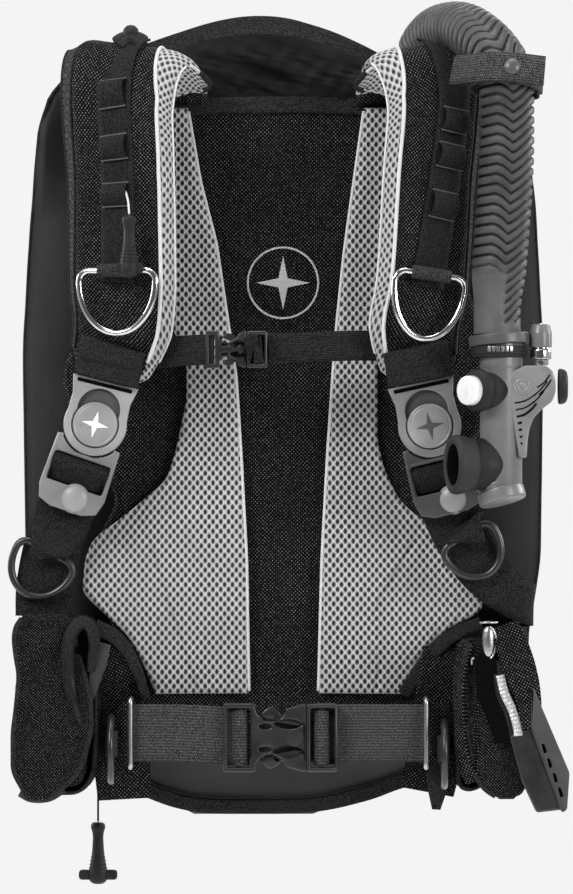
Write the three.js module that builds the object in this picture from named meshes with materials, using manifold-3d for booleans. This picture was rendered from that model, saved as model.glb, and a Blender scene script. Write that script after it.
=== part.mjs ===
// Buoyancy compensator vest for scuba diving: harness, air cell, hose with power inflator, pockets.
//
// Frame: millimetres, +Z up. The origin lies on the cylinder seat of the back plate. +Y points at
// the cylinder and -Y at the wearer's chest side. +X is the wearer's left, so the nodes named
// right_ lie at -X. Soft pieces are plain closed solids of the real outer size.

import * as THREE from 'three';
import { mergeVertices } from 'three/addons/utils/BufferGeometryUtils.js';
import Module from 'manifold-3d';

const wasm = await Module();
wasm.setup();

// ---------------------------------------------------------------- driving dimensions

const GAP = 0.4;                  // clearance where two pieces touch
const WAIST_WEBBING = 48;         // width of the waist webbing
const CHEST_WEBBING = 25;         // width of the chest webbing
const GEAR_WEBBING = 30;          // width of the webbing down the shoulder straps
const WEBBING_THICK = 2.4;

const CELL_FRONT = -36;           // air cell, front face at the middle
const CELL_THICK = 20;
const PANEL_FRONT = -45;          // harness panel, front face at the middle
const PANEL_THICK = 8;
const PAD_THICK = 12.2;           // back pads
const PAD_GAP = 1.4;              // the curved pads keep this off the curved panel
const LUMBAR_WRAP = 45;           // how far the lumbar wings come forward
const LUMBAR_Z = -180;

const STRAP_THICK = 18;           // padded shoulder straps

const CYLINDER_RADIUS = 94.5;     // inner radius of the cylinder band
const BAND_Z = 70;
const PLATE_FRONT = -12;
const PLATE_BACK = -4;

const HOSE_RADIUS = 23;
const HOSE_X = 186.5;             // the hanging stretch of the hose
const HOSE_PIVOT = [HOSE_X, -145, 250];
const INFLATOR_X = 184;
const INFLATOR_Y = -150;
const INFLATOR_TOP = 66.6;
const INFLATOR_BOTTOM = -77;
const INFLATOR_RADIUS = 17.5;

const CHEST_BUCKLE = { x: -39, y: -129, z: 54.6 };
const WAIST_BUCKLE = { x: -2, y: -117, z: -270.5 };

const PULL_X = -158.5;            // rear dump cord
const PULL_Y = -6;

// ---------------------------------------------------------------- materials

const finish = (color, roughness, metalness = 0) =>
  new THREE.MeshStandardMaterial({ color, roughness, metalness });

const FINISHES = {
  cell: finish(0x232323, 0.8),
  fabric: finish(0x1c1c1c, 0.95),
  mesh: finish(0x8a8a8a, 0.9),
  webbing: finish(0x262626, 0.9),
  plastic: finish(0x1a1a1a, 0.45),
  housing: finish(0x6b6b6b, 0.5),
  hose: finish(0x4a4a4a, 0.6),
  tube: finish(0x5c5c5c, 0.4),
  steel: finish(0xd9d9d9, 0.15, 1),
  white: finish(0xf2f2f2, 0.35),
};

// ---------------------------------------------------------------- geometry kit

const point = (x, y, z) => new THREE.Vector3(x, y, z);
const radians = THREE.MathUtils.degToRad;
const mix = THREE.MathUtils.lerp;

// Reads a value between the [place, value] pairs of a short outline.
const outline = (...pairs) => (place) => {
  const next = pairs.findIndex(([at]) => at >= place);
  if (next === 0) return pairs[0][1];
  if (next < 0) return pairs.at(-1)[1];
  const [from, low] = pairs[next - 1];
  const [to, high] = pairs[next];
  return mix(low, high, (place - from) / (to - from));
};

function geometryOf(positions, faces) {
  const geometry = new THREE.BufferGeometry();
  geometry.setAttribute('position', new THREE.Float32BufferAttribute(positions, 3));
  geometry.setIndex(faces);
  return geometry;
}

// Turns every face over if the solid is inside out.
function outward(geometry) {
  const places = geometry.attributes.position;
  const faces = Array.from(geometry.index.array);
  const [a, b, c] = [point(), point(), point()];
  let volume = 0;
  for (let i = 0; i < faces.length; i += 3) {
    a.fromBufferAttribute(places, faces[i]);
    b.fromBufferAttribute(places, faces[i + 1]);
    c.fromBufferAttribute(places, faces[i + 2]);
    volume += a.dot(b.cross(c));
  }
  return volume < 0 ? geometryOf(Array.from(places.array), faces.reverse()) : geometry;
}

// Skins rings that all hold the same even number of points. An open loft is capped at both ends
// by strips that pair the ring's points across.
function loft(rings, closed = false) {
  const count = rings[0].length;
  const positions = rings.flat().flatMap(({ x, y, z }) => [x, y, z]);
  const faces = [];
  const quad = (a, b, c, d) => faces.push(a, b, c, a, c, d);
  for (let r = 0; r < (closed ? rings.length : rings.length - 1); r += 1) {
    const here = r * count;
    const next = ((r + 1) % rings.length) * count;
    for (let k = 0; k < count; k += 1) {
      const after = (k + 1) % count;
      quad(here + k, here + after, next + after, next + k);
    }
  }
  const last = (rings.length - 1) * count;
  for (let k = 0; !closed && k < count / 2 - 1; k += 1) {
    const across = count - 1 - k;
    quad(k, across, across - 1, k + 1);
    quad(last + k, last + k + 1, last + across - 1, last + across);
  }
  return outward(geometryOf(positions, faces));
}

// An upright curved slab between two side outlines. front(x, z) is its face towards -Y.
function slab({ low, high, left, right, front, thick, rows, columns }) {
  const rings = [];
  for (let r = 0; r <= rows; r += 1) {
    const z = mix(low, high, r / rows);
    const face = [];
    for (let c = 0; c <= columns; c += 1) {
      const x = mix(left(z), right(z), c / columns);
      face.push(point(x, front(x, z), z));
    }
    const back = face.map((p) => point(p.x, p.y + thick, p.z)).reverse();
    rings.push([...face, ...back]);
  }
  return loft(rings);
}

const FLAT_SECTION = [[-0.5, -0.5], [0.5, -0.5], [0.5, 0.5], [-0.5, 0.5]];
const PADDED_SECTION = [
  [-0.44, -0.5], [0, -0.5], [0.44, -0.5], [0.5, -0.2], [0.5, 0.2],
  [0.44, 0.5], [0, 0.56], [-0.44, 0.5], [-0.5, 0.2], [-0.5, -0.2],
];

// A band along stations [x, y, z, nx, ny, nz, width, thick]; n points out of its outer face.
// lift lays the band over the outer face, and from and to take only a stretch of the stations.
function strip(stations, {
  width, thick, lift = 0, steps = 16, section = FLAT_SECTION, from = 0, to = 1,
}) {
  const places = new THREE.CatmullRomCurve3(stations.map(([x, y, z]) => point(x, y, z)));
  const normals = new THREE.CatmullRomCurve3(stations.map((s) => point(s[3], s[4], s[5])));
  const sizes = new THREE.CatmullRomCurve3(
    stations.map((s) => point(width ?? s[6], thick ?? s[7], s[7] ?? thick)),
  );
  const rings = [];
  for (let i = 0; i <= steps; i += 1) {
    const t = mix(from, to, i / steps);
    const centre = places.getPoint(t);
    const along = places.getTangent(t);
    const out = normals.getPoint(t).projectOnPlane(along).normalize();
    const across = along.clone().cross(out);
    const size = sizes.getPoint(t);
    const rise = lift === 0 ? 0 : size.z / 2 + lift;
    rings.push(section.map(([w, n]) => centre.clone()
      .addScaledVector(across, w * size.x)
      .addScaledVector(out, n * size.y + rise)));
  }
  return loft(rings);
}

// A round wire bent along a closed flat path in the XZ plane.
function wireLoop(path, radius, count = 24, sides = 6) {
  const places = path.getSpacedPoints(count).slice(0, count);
  const rings = places.map((place, i) => {
    const before = places[(i + count - 1) % count];
    const after = places[(i + 1) % count];
    const along = after.clone().sub(before).normalize();
    return Array.from({ length: sides }, (_, k) => {
      const angle = (2 * Math.PI * k) / sides;
      const side = radius * Math.cos(angle);
      return point(place.x + along.y * side, radius * Math.sin(angle), place.y - along.x * side);
    });
  });
  return loft(rings, true);
}

// A round tube along a smooth open path.
function tube(places, radius, sides, steps) {
  const circle = new THREE.Shape().absarc(0, 0, radius, 0, 2 * Math.PI);
  const extrudePath = new THREE.CatmullRomCurve3(places.map((p) => point(...p)));
  return new THREE.ExtrudeGeometry(circle, { steps, extrudePath, curveSegments: sides / 2 });
}

const box = (w, d, h, x = 0, y = 0, z = 0) => new THREE.BoxGeometry(w, d, h).translate(x, y, z);
const barY = (radius, depth, segments = 24) =>
  new THREE.CylinderGeometry(radius, radius, depth, segments);
const barZ = (radius, height, segments = 24) => barY(radius, height, segments).rotateX(Math.PI / 2);
const barX = (radius, length, segments = 24) => barY(radius, length, segments).rotateZ(Math.PI / 2);

// A shape drawn in the XZ plane, from y = back forwards by depth.
const upright = (shape, depth, back = 0) =>
  new THREE.ExtrudeGeometry(shape, { depth, bevelEnabled: false, curveSegments: 6 })
    .rotateX(Math.PI / 2)
    .translate(0, back, 0);

const polygon = (...corners) => new THREE.Shape(corners.map(([x, z]) => new THREE.Vector2(x, z)));

function roundedRect(left, bottom, right, top, r) {
  const shape = new THREE.Shape();
  shape.moveTo(left + r, bottom).lineTo(right - r, bottom);
  shape.absarc(right - r, bottom + r, r, -Math.PI / 2, 0).lineTo(right, top - r);
  shape.absarc(right - r, top - r, r, 0, Math.PI / 2).lineTo(left + r, top);
  shape.absarc(left + r, top - r, r, Math.PI / 2, Math.PI).lineTo(left, bottom + r);
  return shape.absarc(left + r, bottom + r, r, Math.PI, 1.5 * Math.PI);
}

function toSolid(geometry) {
  const bare = new THREE.BufferGeometry();
  bare.setAttribute('position', geometry.attributes.position);
  if (geometry.index) bare.setIndex(geometry.index);
  const merged = mergeVertices(bare, 1e-3);
  return new wasm.Manifold(new wasm.Mesh({
    numProp: 3,
    vertProperties: Float32Array.from(merged.attributes.position.array),
    triVerts: Uint32Array.from(merged.index.array),
  }));
}

function fromSolid(solid) {
  const mesh = solid.getMesh();
  return geometryOf(Array.from(mesh.vertProperties), Array.from(mesh.triVerts));
}

const joined = (...pieces) => fromSolid(pieces.map(toSolid).reduce((a, b) => a.add(b)));
const cut = (piece, ...tools) =>
  fromSolid(tools.map(toSolid).reduce((a, b) => a.subtract(b), toSolid(piece)));

// ---------------------------------------------------------------- the vest

const vest = new THREE.Group();

function add(name, material, geometry, parent = vest) {
  const mesh = new THREE.Mesh(geometry, FINISHES[material]);
  mesh.name = name;
  parent.add(mesh);
  return mesh;
}

// A group at a place, leaned about Y so that its own +X turns down by lean degrees.
function placed(x, y, z, lean = 0) {
  const group = new THREE.Group();
  group.position.set(x, y, z);
  group.rotation.y = radians(lean);
  vest.add(group);
  return group;
}

// ---- plate, cylinder band and cam buckle

function backPlate() {
  const plate = upright(roundedRect(-105, -190, 105, 170, 40), PLATE_BACK - PLATE_FRONT, PLATE_BACK);
  const seat = box(64, 5, 220, 0, -2.5, 0);
  const slots = [-56, 56].map((x) => box(16, 40, 56, x, -8, BAND_Z));
  add('back_plate', 'plastic', cut(joined(plate, seat), ...slots));
}

function grabHandle() {
  const arch = [
    [-46, -4, 170.6, -1, 0, 0.2], [-40, -4, 205, -0.9, 0, 0.5], [0, -4, 222, 0, 0, 1],
    [40, -4, 205, 0.9, 0, 0.5], [46, -4, 170.6, 1, 0, 0.2],
  ];
  add('grab_handle', 'plastic', strip(arch, { width: 14, thick: 7, steps: 14 }));
}

function tankBand() {
  const centre = CYLINDER_RADIUS - 0.5;
  const start = -26.2;
  const route = [[0, -13.8], [48, -13.8], [55.5, -12.3], [58.5, -6]];
  for (let step = 0; step <= 8; step += 1) {
    const angle = radians(mix(start, 90, step / 8));
    route.push([(CYLINDER_RADIUS + 2) * Math.cos(angle), centre + (CYLINDER_RADIUS + 2) * Math.sin(angle)]);
  }
  const half = route.map(([x, y]) => point(x, y, 0));
  const mirrored = half.slice(1, -1).reverse().map((p) => point(-p.x, p.y, 0));
  const loopPoints = [...half, ...mirrored];
  const rings = loopPoints.map((place, i) => {
    const before = loopPoints[(i + loopPoints.length - 1) % loopPoints.length];
    const after = loopPoints[(i + 1) % loopPoints.length];
    const along = after.clone().sub(before).normalize();
    const out = point(along.y, -along.x, 0).multiplyScalar(WEBBING_THICK / 2);
    const low = BAND_Z - WAIST_WEBBING / 2;
    const high = BAND_Z + WAIST_WEBBING / 2;
    const inner = place.clone().sub(out);
    const outer = place.clone().add(out);
    return [
      point(inner.x, inner.y, low), point(outer.x, outer.y, low),
      point(outer.x, outer.y, high), point(inner.x, inner.y, high),
    ];
  });
  add('tank_band', 'webbing', loft(rings, true));
}

// The cam buckle sits on the band 50 degrees round from the back, its lever over it.
function camBuckle() {
  const angle = radians(40);
  const reach = CYLINDER_RADIUS + 2 + WEBBING_THICK / 2 + 1.2;
  const group = new THREE.Group();
  group.position.set(reach * Math.cos(angle), CYLINDER_RADIUS - 0.5 + reach * Math.sin(angle), BAND_Z);
  group.rotation.z = angle;
  vest.add(group);
  const body = box(5, 62, 56, 2.5, 0, 0);
  const cheeks = [-26, 26].map((z) => box(12, 18, 4, 7, -20, z));
  add('cam_buckle', 'plastic', joined(body, ...cheeks), group);
  const barrel = barZ(5, 46.8, 16).translate(11.5, -20, 0);
  const arm = box(4, 62, 46.8, 9.5, 11, 0);
  add('cam_lever', 'plastic', joined(barrel, arm), group);
}

// ---- air cell, harness panel and back pads

const SIDE_CURL = 60;
const CURL_START = 165;
const CURL_WIDTH = 57;

// The side lobes curl back towards the cylinder, fading out at the shoulders and the hem.
function curl(x, z) {
  const beyond = Math.max(0, Math.abs(x) - CURL_START) / CURL_WIDTH;
  const fade = THREE.MathUtils.clamp(Math.min((250 - z) / 80, (z + 240) / 60), 0, 1);
  return SIDE_CURL * fade * beyond ** 2;
}

const cellFront = (x, z) => CELL_FRONT + curl(x, z);

const wrap = (z) => LUMBAR_WRAP * Math.exp(-(((z - LUMBAR_Z) / 110) ** 2));
const panelFront = (x, z) => PANEL_FRONT - wrap(z) * (x / 170) ** 2;
const padFront = (x, z) => panelFront(x, z) - PAD_GAP - PAD_THICK;

function airCell() {
  add('air_cell', 'cell', slab({
    low: -318,
    high: 333,
    left: outline([-318, -120], [-290, -192], [-222, -209], [-122, -220], [55, -222], [196, -214],
      [245, -209], [280, -196], [303, -160], [311, -132], [322, -92], [330, -58], [333, -40]),
    right: outline([-318, 120], [-290, 192], [-222, 209], [-122, 220], [55, 222], [196, 214],
      [245, 205], [264, 186], [276, 150], [284, 112], [298, 92], [311, 72], [322, 45],
      [330, 8], [333, -14]),
    front: cellFront,
    thick: CELL_THICK,
    rows: 22,
    columns: 10,
  }));
}

function backPanel() {
  add('back_panel', 'fabric', slab({
    low: -339,
    high: 269,
    left: outline([-339, -64], [-330, -104], [-316, -124], [-290, -140], [-240, -138], [-172, -146],
      [-140, -168], [-120, -168], [-92, -150], [-70, -140], [-30, -165], [13, -185], [38, -188],
      [100, -160], [150, -146], [200, -126], [269, -108]),
    right: outline([-339, 10], [-330, 62], [-316, 102], [-290, 116], [-240, 126], [-186, 132],
      [-140, 165], [-120, 168], [-92, 150], [-70, 140], [-30, 160], [13, 180], [38, 184],
      [100, 160], [150, 146], [200, 126], [269, 108]),
    front: panelFront,
    thick: PANEL_THICK,
    rows: 24,
    columns: 10,
  }));
}

function backPads() {
  add('right_back_pad', 'mesh', slab({
    low: -236,
    high: 261,
    left: outline([-236, -108], [-216, -116], [-190, -128], [-168, -150], [-150, -169],
      [-122, -167], [-105, -161], [-84, -133], [-55, -99], [-30, -91], [13, -82], [50, -82],
      [97, -106], [197, -112], [261, -110]),
    right: outline([-236, -29], [-122, -31], [-29, -36], [34, -40], [67, -45], [147, -57],
      [197, -70], [261, -81]),
    front: padFront,
    thick: PAD_THICK,
    rows: 22,
    columns: 4,
  }));
  add('left_back_pad', 'mesh', slab({
    low: -236,
    high: 261,
    left: outline([-236, 30], [-122, 33], [-29, 38], [29, 42], [71, 45], [139, 52], [197, 60],
      [261, 69]),
    right: outline([-236, 104], [-210, 113], [-188, 130], [-175, 147], [-168, 166], [-147, 171],
      [-105, 150], [-88, 116], [-71, 98], [-46, 86], [-21, 80], [60, 80], [197, 108], [261, 108]),
    front: padFront,
    thick: PAD_THICK,
    rows: 22,
    columns: 4,
  }));
}

// ---- shoulder straps and what is sewn on them

// Stations [x, y, z, nx, ny, nz, width, thick] from the back of the neck to the buckle.
const RIGHT_STRAP = [
  [-103, -46.5, 271, 0, 0.97, 0.2, 82, 16],
  [-106, -56, 290, -0.1, 0.75, 0.6, 82, STRAP_THICK],
  [-114, -78, 302, -0.25, 0.05, 0.95, 82, STRAP_THICK],
  [-124, -102, 296, -0.35, -0.5, 0.8, 82, STRAP_THICK],
  [-131, -120, 268, -0.4, -0.85, 0.3, 82, STRAP_THICK],
  [-131, -130, 200, -0.42, -0.91, 0, 82, STRAP_THICK],
  [-134, -132, 108, -0.42, -0.91, 0, 82, STRAP_THICK],
  [-136, -127, 75, -0.36, -0.93, 0, 80, 16],
  [-147.3, -112, 31.5, -0.1, -0.99, -0.1, 62, 9],
];
const LEFT_STRAP = [
  [99, -46.5, 271, 0, 0.97, 0.2, 78, 16],
  [101, -56, 290, 0.1, 0.75, 0.6, 76, STRAP_THICK],
  [106, -78, 302, 0.28, 0.05, 0.95, 76, STRAP_THICK],
  [114, -102, 297, 0.4, -0.5, 0.78, 76, STRAP_THICK],
  [122, -118, 270, 0.5, -0.82, 0.28, 76, STRAP_THICK],
  [119, -126, 200, 0.5, -0.87, 0, 74, STRAP_THICK],
  [115, -127, 105, 0.46, -0.89, 0, 74, STRAP_THICK],
  [111, -123, 75, 0.36, -0.93, 0, 74, 16],
  [114.3, -112, 31.8, 0.1, -0.99, -0.1, 60, 9],
];

const padded = (stations) => strip(stations, { section: PADDED_SECTION, steps: 24 });

const KEEPER_RADIUS = 5.6;
const KEEPER_LENGTH = 34;
const RING_WIRE = 2.75;

// Where a ring's bar lies: leaned down towards +X, then turned about the vertical.
const barPose = ({ x, y, z, turn = 0, lean = 0 }) =>
  new THREE.Matrix4().makeTranslation(x, y, z)
    .multiply(new THREE.Matrix4().makeRotationZ(radians(turn)))
    .multiply(new THREE.Matrix4().makeRotationY(radians(lean)));

// Gear webbing with the keeper that carries a ring. keeper = { x, y, z, turn, lean }.
function gearWebbing(stations, keeper, tailDepth) {
  const band = strip(stations, {
    width: GEAR_WEBBING, thick: WEBBING_THICK, lift: 2.8, steps: 12, from: 0.25, to: 0.75,
  });
  const pose = barPose(keeper);
  const barrel = barX(KEEPER_RADIUS, KEEPER_LENGTH, 12);
  const tail = box(10, tailDepth, 3, 0, tailDepth / 2, 0);
  const pod = joined(barrel, tail).applyMatrix4(pose);
  const bore = barX(RING_WIRE + 0.7, KEEPER_LENGTH + 20, 12).applyMatrix4(pose);
  return cut(joined(band, pod), bore);
}

const RIGHT_KEEPER = { x: -138, y: -153.5, z: 120, turn: -15, lean: 0 };
const LEFT_KEEPER = { x: 123.5, y: -147.5, z: 117, turn: 12, lean: 8 };

function shoulders() {
  add('right_shoulder_strap', 'fabric', padded(RIGHT_STRAP));
  add('left_shoulder_strap', 'fabric', padded(LEFT_STRAP));
  add('right_gear_webbing', 'webbing', gearWebbing(RIGHT_STRAP, RIGHT_KEEPER, 9.9));
  add('left_gear_webbing', 'webbing', gearWebbing(LEFT_STRAP, LEFT_KEEPER, 10.4));
}

// ---- rings

// A D of the given bar width and depth, bar along X through the origin, hanging down.
function dPath(width, depth, corner = 9) {
  const half = width / 2;
  const round = depth - corner;
  const path = new THREE.Path();
  path.moveTo(-half + corner, 0).lineTo(half - corner, 0);
  path.absarc(half - corner, -corner, corner, Math.PI / 2, 0, true);
  path.absellipse(0, -corner, half, round, 0, Math.PI, true);
  path.absarc(-half + corner, -corner, corner, Math.PI, Math.PI / 2, true);
  return path;
}

function ring(name, material, keeper, width, depth) {
  const bow = wireLoop(dPath(width, depth), RING_WIRE);
  add(name, material, bow.applyMatrix4(barPose(keeper)));
}

// A waist ring stands on edge, its bar upright against the webbing and its bow forwards.
function waistRing(name, { x, y, z }) {
  const bow = wireLoop(dPath(54, 34), RING_WIRE).rotateY(Math.PI / 2).rotateZ(Math.PI / 2);
  add(name, 'plastic', bow, placed(x, y, z));
}

function rings() {
  ring('right_chest_ring', 'steel', RIGHT_KEEPER, 66, 52);
  ring('left_chest_ring', 'steel', LEFT_KEEPER, 60, 54);
  ring('right_hip_ring', 'plastic', RIGHT_HIP, 52, 40);
  ring('left_hip_ring', 'plastic', LEFT_HIP, 48, 38);
  waistRing('right_waist_ring', RIGHT_WAIST);
  waistRing('left_waist_ring', LEFT_WAIST);
}

// ---- chest and waist straps

function chestStraps() {
  add('chest_strap_right', 'webbing', strip([
    [-122, -108.5, 51, -0.3, -0.95, 0], [-107, -114, 51.5, -0.4, -0.9, 0],
    [-90, -125, 53, -0.3, -0.95, 0], [-66.2, -129, 54.6, 0, -1, 0],
  ], { width: CHEST_WEBBING, thick: WEBBING_THICK, steps: 9 }));
  add('chest_strap_left', 'webbing', strip([
    [-30, -121.8, 55.2, 0, -1, 0], [30, -121.6, 57, 0, -1, 0], [58, -119.5, 58, 0.1, -1, 0],
    [76, -113.5, 58, 0.4, -0.9, 0], [92, -108, 58, 0.42, -0.9, 0], [104, -105, 57, 0.2, -0.9, 0],
  ], { width: CHEST_WEBBING, thick: WEBBING_THICK, steps: 12 }));
}

const WAIST_Z = -267;

// Waist webbing with the keeper of its upright ring.
function waistWebbing(stations, { x, y, z }) {
  const band = strip(stations, { width: WAIST_WEBBING, thick: WEBBING_THICK, steps: 10 });
  const barrel = barZ(KEEPER_RADIUS, 22, 12).translate(x, y, z + 4);
  const tail = box(8, 8, 22, x, y + 4, z + 4);
  const bore = barZ(RING_WIRE + 0.7, 40, 12).translate(x, y, z + 4);
  return cut(joined(band, barrel, tail), bore);
}

function waistStraps() {
  const right = waistWebbing([
    [-151.6, -99, WAIST_Z, 0, -1, 0], [-144, -102.5, WAIST_Z, 0, -1, 0],
    [-128, -108, WAIST_Z, 0, -1, 0], [-90, -113, WAIST_Z, 0, -1, 0],
    [-50.8, -117, WAIST_Z, 0, -1, 0],
  ], RIGHT_WAIST);
  const left = waistWebbing([
    [14, -107.8, WAIST_Z, 0, -1, 0], [50, -107.6, WAIST_Z, 0, -1, 0],
    [90, -107.6, WAIST_Z, 0, -1, 0], [120, -107.8, WAIST_Z, 0, -1, 0],
    [135, -104.5, WAIST_Z, 0, -1, 0], [142.6, -100, WAIST_Z, 0, -1, 0],
  ], LEFT_WAIST);
  add('waist_strap_right', 'webbing', right);
  add('waist_strap_left', 'webbing', left);
}

// ---- side-release buckles

// Socket to -X, clip to +X. The prongs lie in the socket's cavity, whose mouth is as wide as they
// are, so that the clip draws straight out.
function sideRelease(name, at, { length, socket, height, depth, slot, wall }) {
  const group = placed(at.x, at.y, at.z);
  const left = -length / 2;
  const mouth = left + socket;
  const tall = height / 2;
  const cavityTall = tall - wall;
  const back = depth / 2;
  const bulge = { x: mouth - 0.42 * (socket - slot), r: 0.2 * height };

  const shell = upright(roundedRect(left, -tall, mouth, tall, 3), depth, back);
  const window = barY(bulge.r, depth + 2).translate(bulge.x, 0, tall + 0.35 * bulge.r);
  const cavity = box(socket - slot - 4, depth - 2 * wall, 2 * cavityTall,
    mouth - (socket - slot - 4) / 2 + 0.5, 0, 0);
  const webSlot = (x, wide) => box(wide, depth + 2, 2 * (tall - 3.2), x, 0, 0);
  const bar = box(slot * 0.3, depth * 0.5, height - 3, left + 3 + slot * 0.45, 0, 0);
  const frame = cut(shell, webSlot(left + 3 + slot / 2 - 1, slot - 3), cavity, window,
    window.clone().rotateY(Math.PI));
  const lowerWindow = barY(bulge.r, depth + 2).translate(bulge.x, 0, -tall - 0.35 * bulge.r);
  add(`${name}_socket`, 'plastic', joined(cut(frame, lowerWindow), bar), group);

  const right = length / 2;
  const clipLeft = mouth + GAP;
  const prongThick = depth - 2 * wall - 1;
  const clipFrame = cut(upright(roundedRect(clipLeft, -tall, right, tall, 3), depth, back),
    webSlot((clipLeft + right) / 2 + 1, right - clipLeft - 8));
  const clipBar = box(slot * 0.28, depth * 0.5, height - 3, (clipLeft + right) / 2, 0, 0);
  const reach = mouth - bulge.x + bulge.r * 0.9;
  const prongs = [-1, 1].map((side) => joined(
    box(reach + 4, prongThick, 0.1 * height, clipLeft - reach / 2 + 2, 0, side * 0.28 * height),
    barY(0.1 * height, prongThick, 16).translate(bulge.x, 0, side * (cavityTall - 0.1 * height - 0.4)),
    box(0.12 * height, prongThick, 0.2 * height, bulge.x, 0, side * 0.28 * height),
  ));
  const guide = box(reach * 0.7, prongThick, 0.14 * height, clipLeft - reach * 0.35 + 2, 0, 0);
  add(`${name}_clip`, 'plastic', joined(clipFrame, clipBar, ...prongs, guide), group);
}

function buckles() {
  sideRelease('chest_buckle', CHEST_BUCKLE,
    { length: 52, socket: 34, height: 31, depth: 11, slot: 11, wall: 2.2 });
  sideRelease('waist_buckle', WAIST_BUCKLE,
    { length: 96, socket: 69, height: 57, depth: 14, slot: 26, wall: 2.6 });
}

// ---- shoulder buckles: housing with a press button, and the slider frame under it

const HOUSING_TOP = 37.3;
const BOSS_RADIUS = 26.5;
const BUTTON_RADIUS = 18.9;
const SLIDER_TOP = -15;
const SLIDER_END = -77;
const BUCKLE_FRONT = -118;

function shoulderBuckle(side, x, z, housingLean, sliderLean) {
  const housing = placed(x, 0, z, housingLean);
  const outlineShape = new THREE.Shape();
  outlineShape.moveTo(-27, HOUSING_TOP).lineTo(-BOSS_RADIUS + 1.2, 7);
  outlineShape.absarc(0, 0, BOSS_RADIUS, radians(164), radians(376));
  outlineShape.lineTo(27, HOUSING_TOP);
  const shell = upright(outlineShape, 14, -104);
  const well = barY(BUTTON_RADIUS + 0.5, 12, 32).translate(0, -113, 0);
  add(`${side}_buckle_housing`, 'housing', cut(shell, well), housing);
  const button = barY(BUTTON_RADIUS, 9, 32).translate(0, -115, 0);
  add(`${side}_buckle_button`, 'tube', button, housing);

  const slider = placed(x, 0, z, sliderLean);
  const plate = upright(roundedRect(-27.5, SLIDER_END, 27.5, SLIDER_TOP, 4), 8.5, -108.5);
  const ringCut = barY(BOSS_RADIUS + 0.6, 30, 40).translate(0, -111, 0);
  const slot = box(50, 30, 23.5, 0, -111, -42.7);
  add(`${side}_buckle_slider`, 'housing', cut(plate, ringCut, slot), slider);
}

// ---- lower webbing and hip rings

const RIGHT_HIP = { x: -196, y: -116, z: -114.7, lean: 29.4 };
const LEFT_HIP = { x: 152, y: -116, z: -101, lean: -33 };

function lowerWebbing(name, stations, hip) {
  const band = strip(stations, { width: 48, thick: WEBBING_THICK, steps: 12 });
  const pose = barPose(hip);
  const pod = joined(barX(KEEPER_RADIUS, 30, 12), box(30, 9.5, 8, 0, 4.75, 0)).applyMatrix4(pose);
  const bore = barX(RING_WIRE + 0.7, 60, 12).applyMatrix4(pose);
  add(name, 'webbing', cut(joined(band, pod), bore));
}

function lowerWebbings() {
  lowerWebbing('right_lower_webbing', [
    [-167.5, -105.2, -37, 0, -1, 0], [-182, -105.2, -78, 0, -1, 0],
    [-194, -107.2, -112, 0, -1, 0], [-200, -108, -145, 0, -1, 0], [-200.5, -108, -169, 0, -1, 0],
  ], RIGHT_HIP);
  lowerWebbing('left_lower_webbing', [
    [130.5, -105.2, -38, 0, -1, 0], [140, -105.2, -78, 0, -1, 0],
    [150, -107.2, -102, 0, -1, 0], [164, -108, -140, 0, -1, 0], [172, -108, -165, 0, -1, 0],
    [174, -108, -182, 0, -1, 0],
  ], LEFT_HIP);
}

// ---- side pockets and weight pouches

const POCKET_WALL = 3;
const POCKET_FRONT = -128;
const POCKET_BACK = -40;
const POCKETS = {
  right: { left: -228, right: -152.5, low: -320, high: -170 },
  left: { left: 144, right: 206, low: -322, high: -186 },
};

function sidePocket(side) {
  const { left, right, low, high } = POCKETS[side];
  const wide = right - left;
  const tall = high - low;
  const deep = POCKET_BACK - POCKET_FRONT;
  const centre = [(left + right) / 2, (POCKET_FRONT + POCKET_BACK) / 2, (low + high) / 2];
  const outer = box(wide, deep, tall, ...centre);
  const hollow = box(wide - 2 * POCKET_WALL, deep, tall - 2 * POCKET_WALL,
    centre[0], centre[1] - POCKET_WALL, centre[2]);
  add(`${side}_side_pocket`, 'fabric', cut(outer, hollow));
  const play = 2 * POCKET_WALL + 2;
  const bag = box(wide - play, deep - POCKET_WALL, tall - play,
    centre[0], centre[1] - POCKET_WALL / 2 - 2, centre[2]);
  const cap = box(wide - 4, 4, tall - 4, centre[0], POCKET_FRONT - 2 - GAP, centre[2]);
  add(`${side}_weight_pouch`, 'fabric', joined(bag, cap));
}

function weightHandle() {
  const shape = polygon([189.8, -266], [209, -231], [239.4, -297], [235, -332], [210, -332],
    [197.4, -308]);
  add('left_weight_handle', 'plastic', upright(shape, 17, POCKET_FRONT - 4 - 2 * GAP));
}

// ---- waist loops

const RIGHT_WAIST = { x: -144, y: -109, z: -280 };
const LEFT_WAIST = { x: 135, y: -111, z: -284 };

function waistLoop(name, x, y) {
  const path = roundedRect(-9, -28.6, 9, 28.6, 3);
  const mesh = add(name, 'steel', wireLoop(path, 2.2), placed(x, y, WAIST_Z));
  mesh.rotation.z = Math.PI / 2;
}

// ---- hose, retainer and power inflator

const HOSE_START = [118, 12, 288];

function hoseElbow() {
  const flange = barY(27, 5, 28).translate(HOSE_START[0], -12.4, 258);
  const neck = barY(20, 38, 24).translate(HOSE_START[0], 5, 258);
  const riser = barZ(20, 36, 24).translate(HOSE_START[0], HOSE_START[1], HOSE_START[2] - 18 - GAP);
  add('hose_elbow', 'plastic', joined(flange, neck, riser));
}

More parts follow.
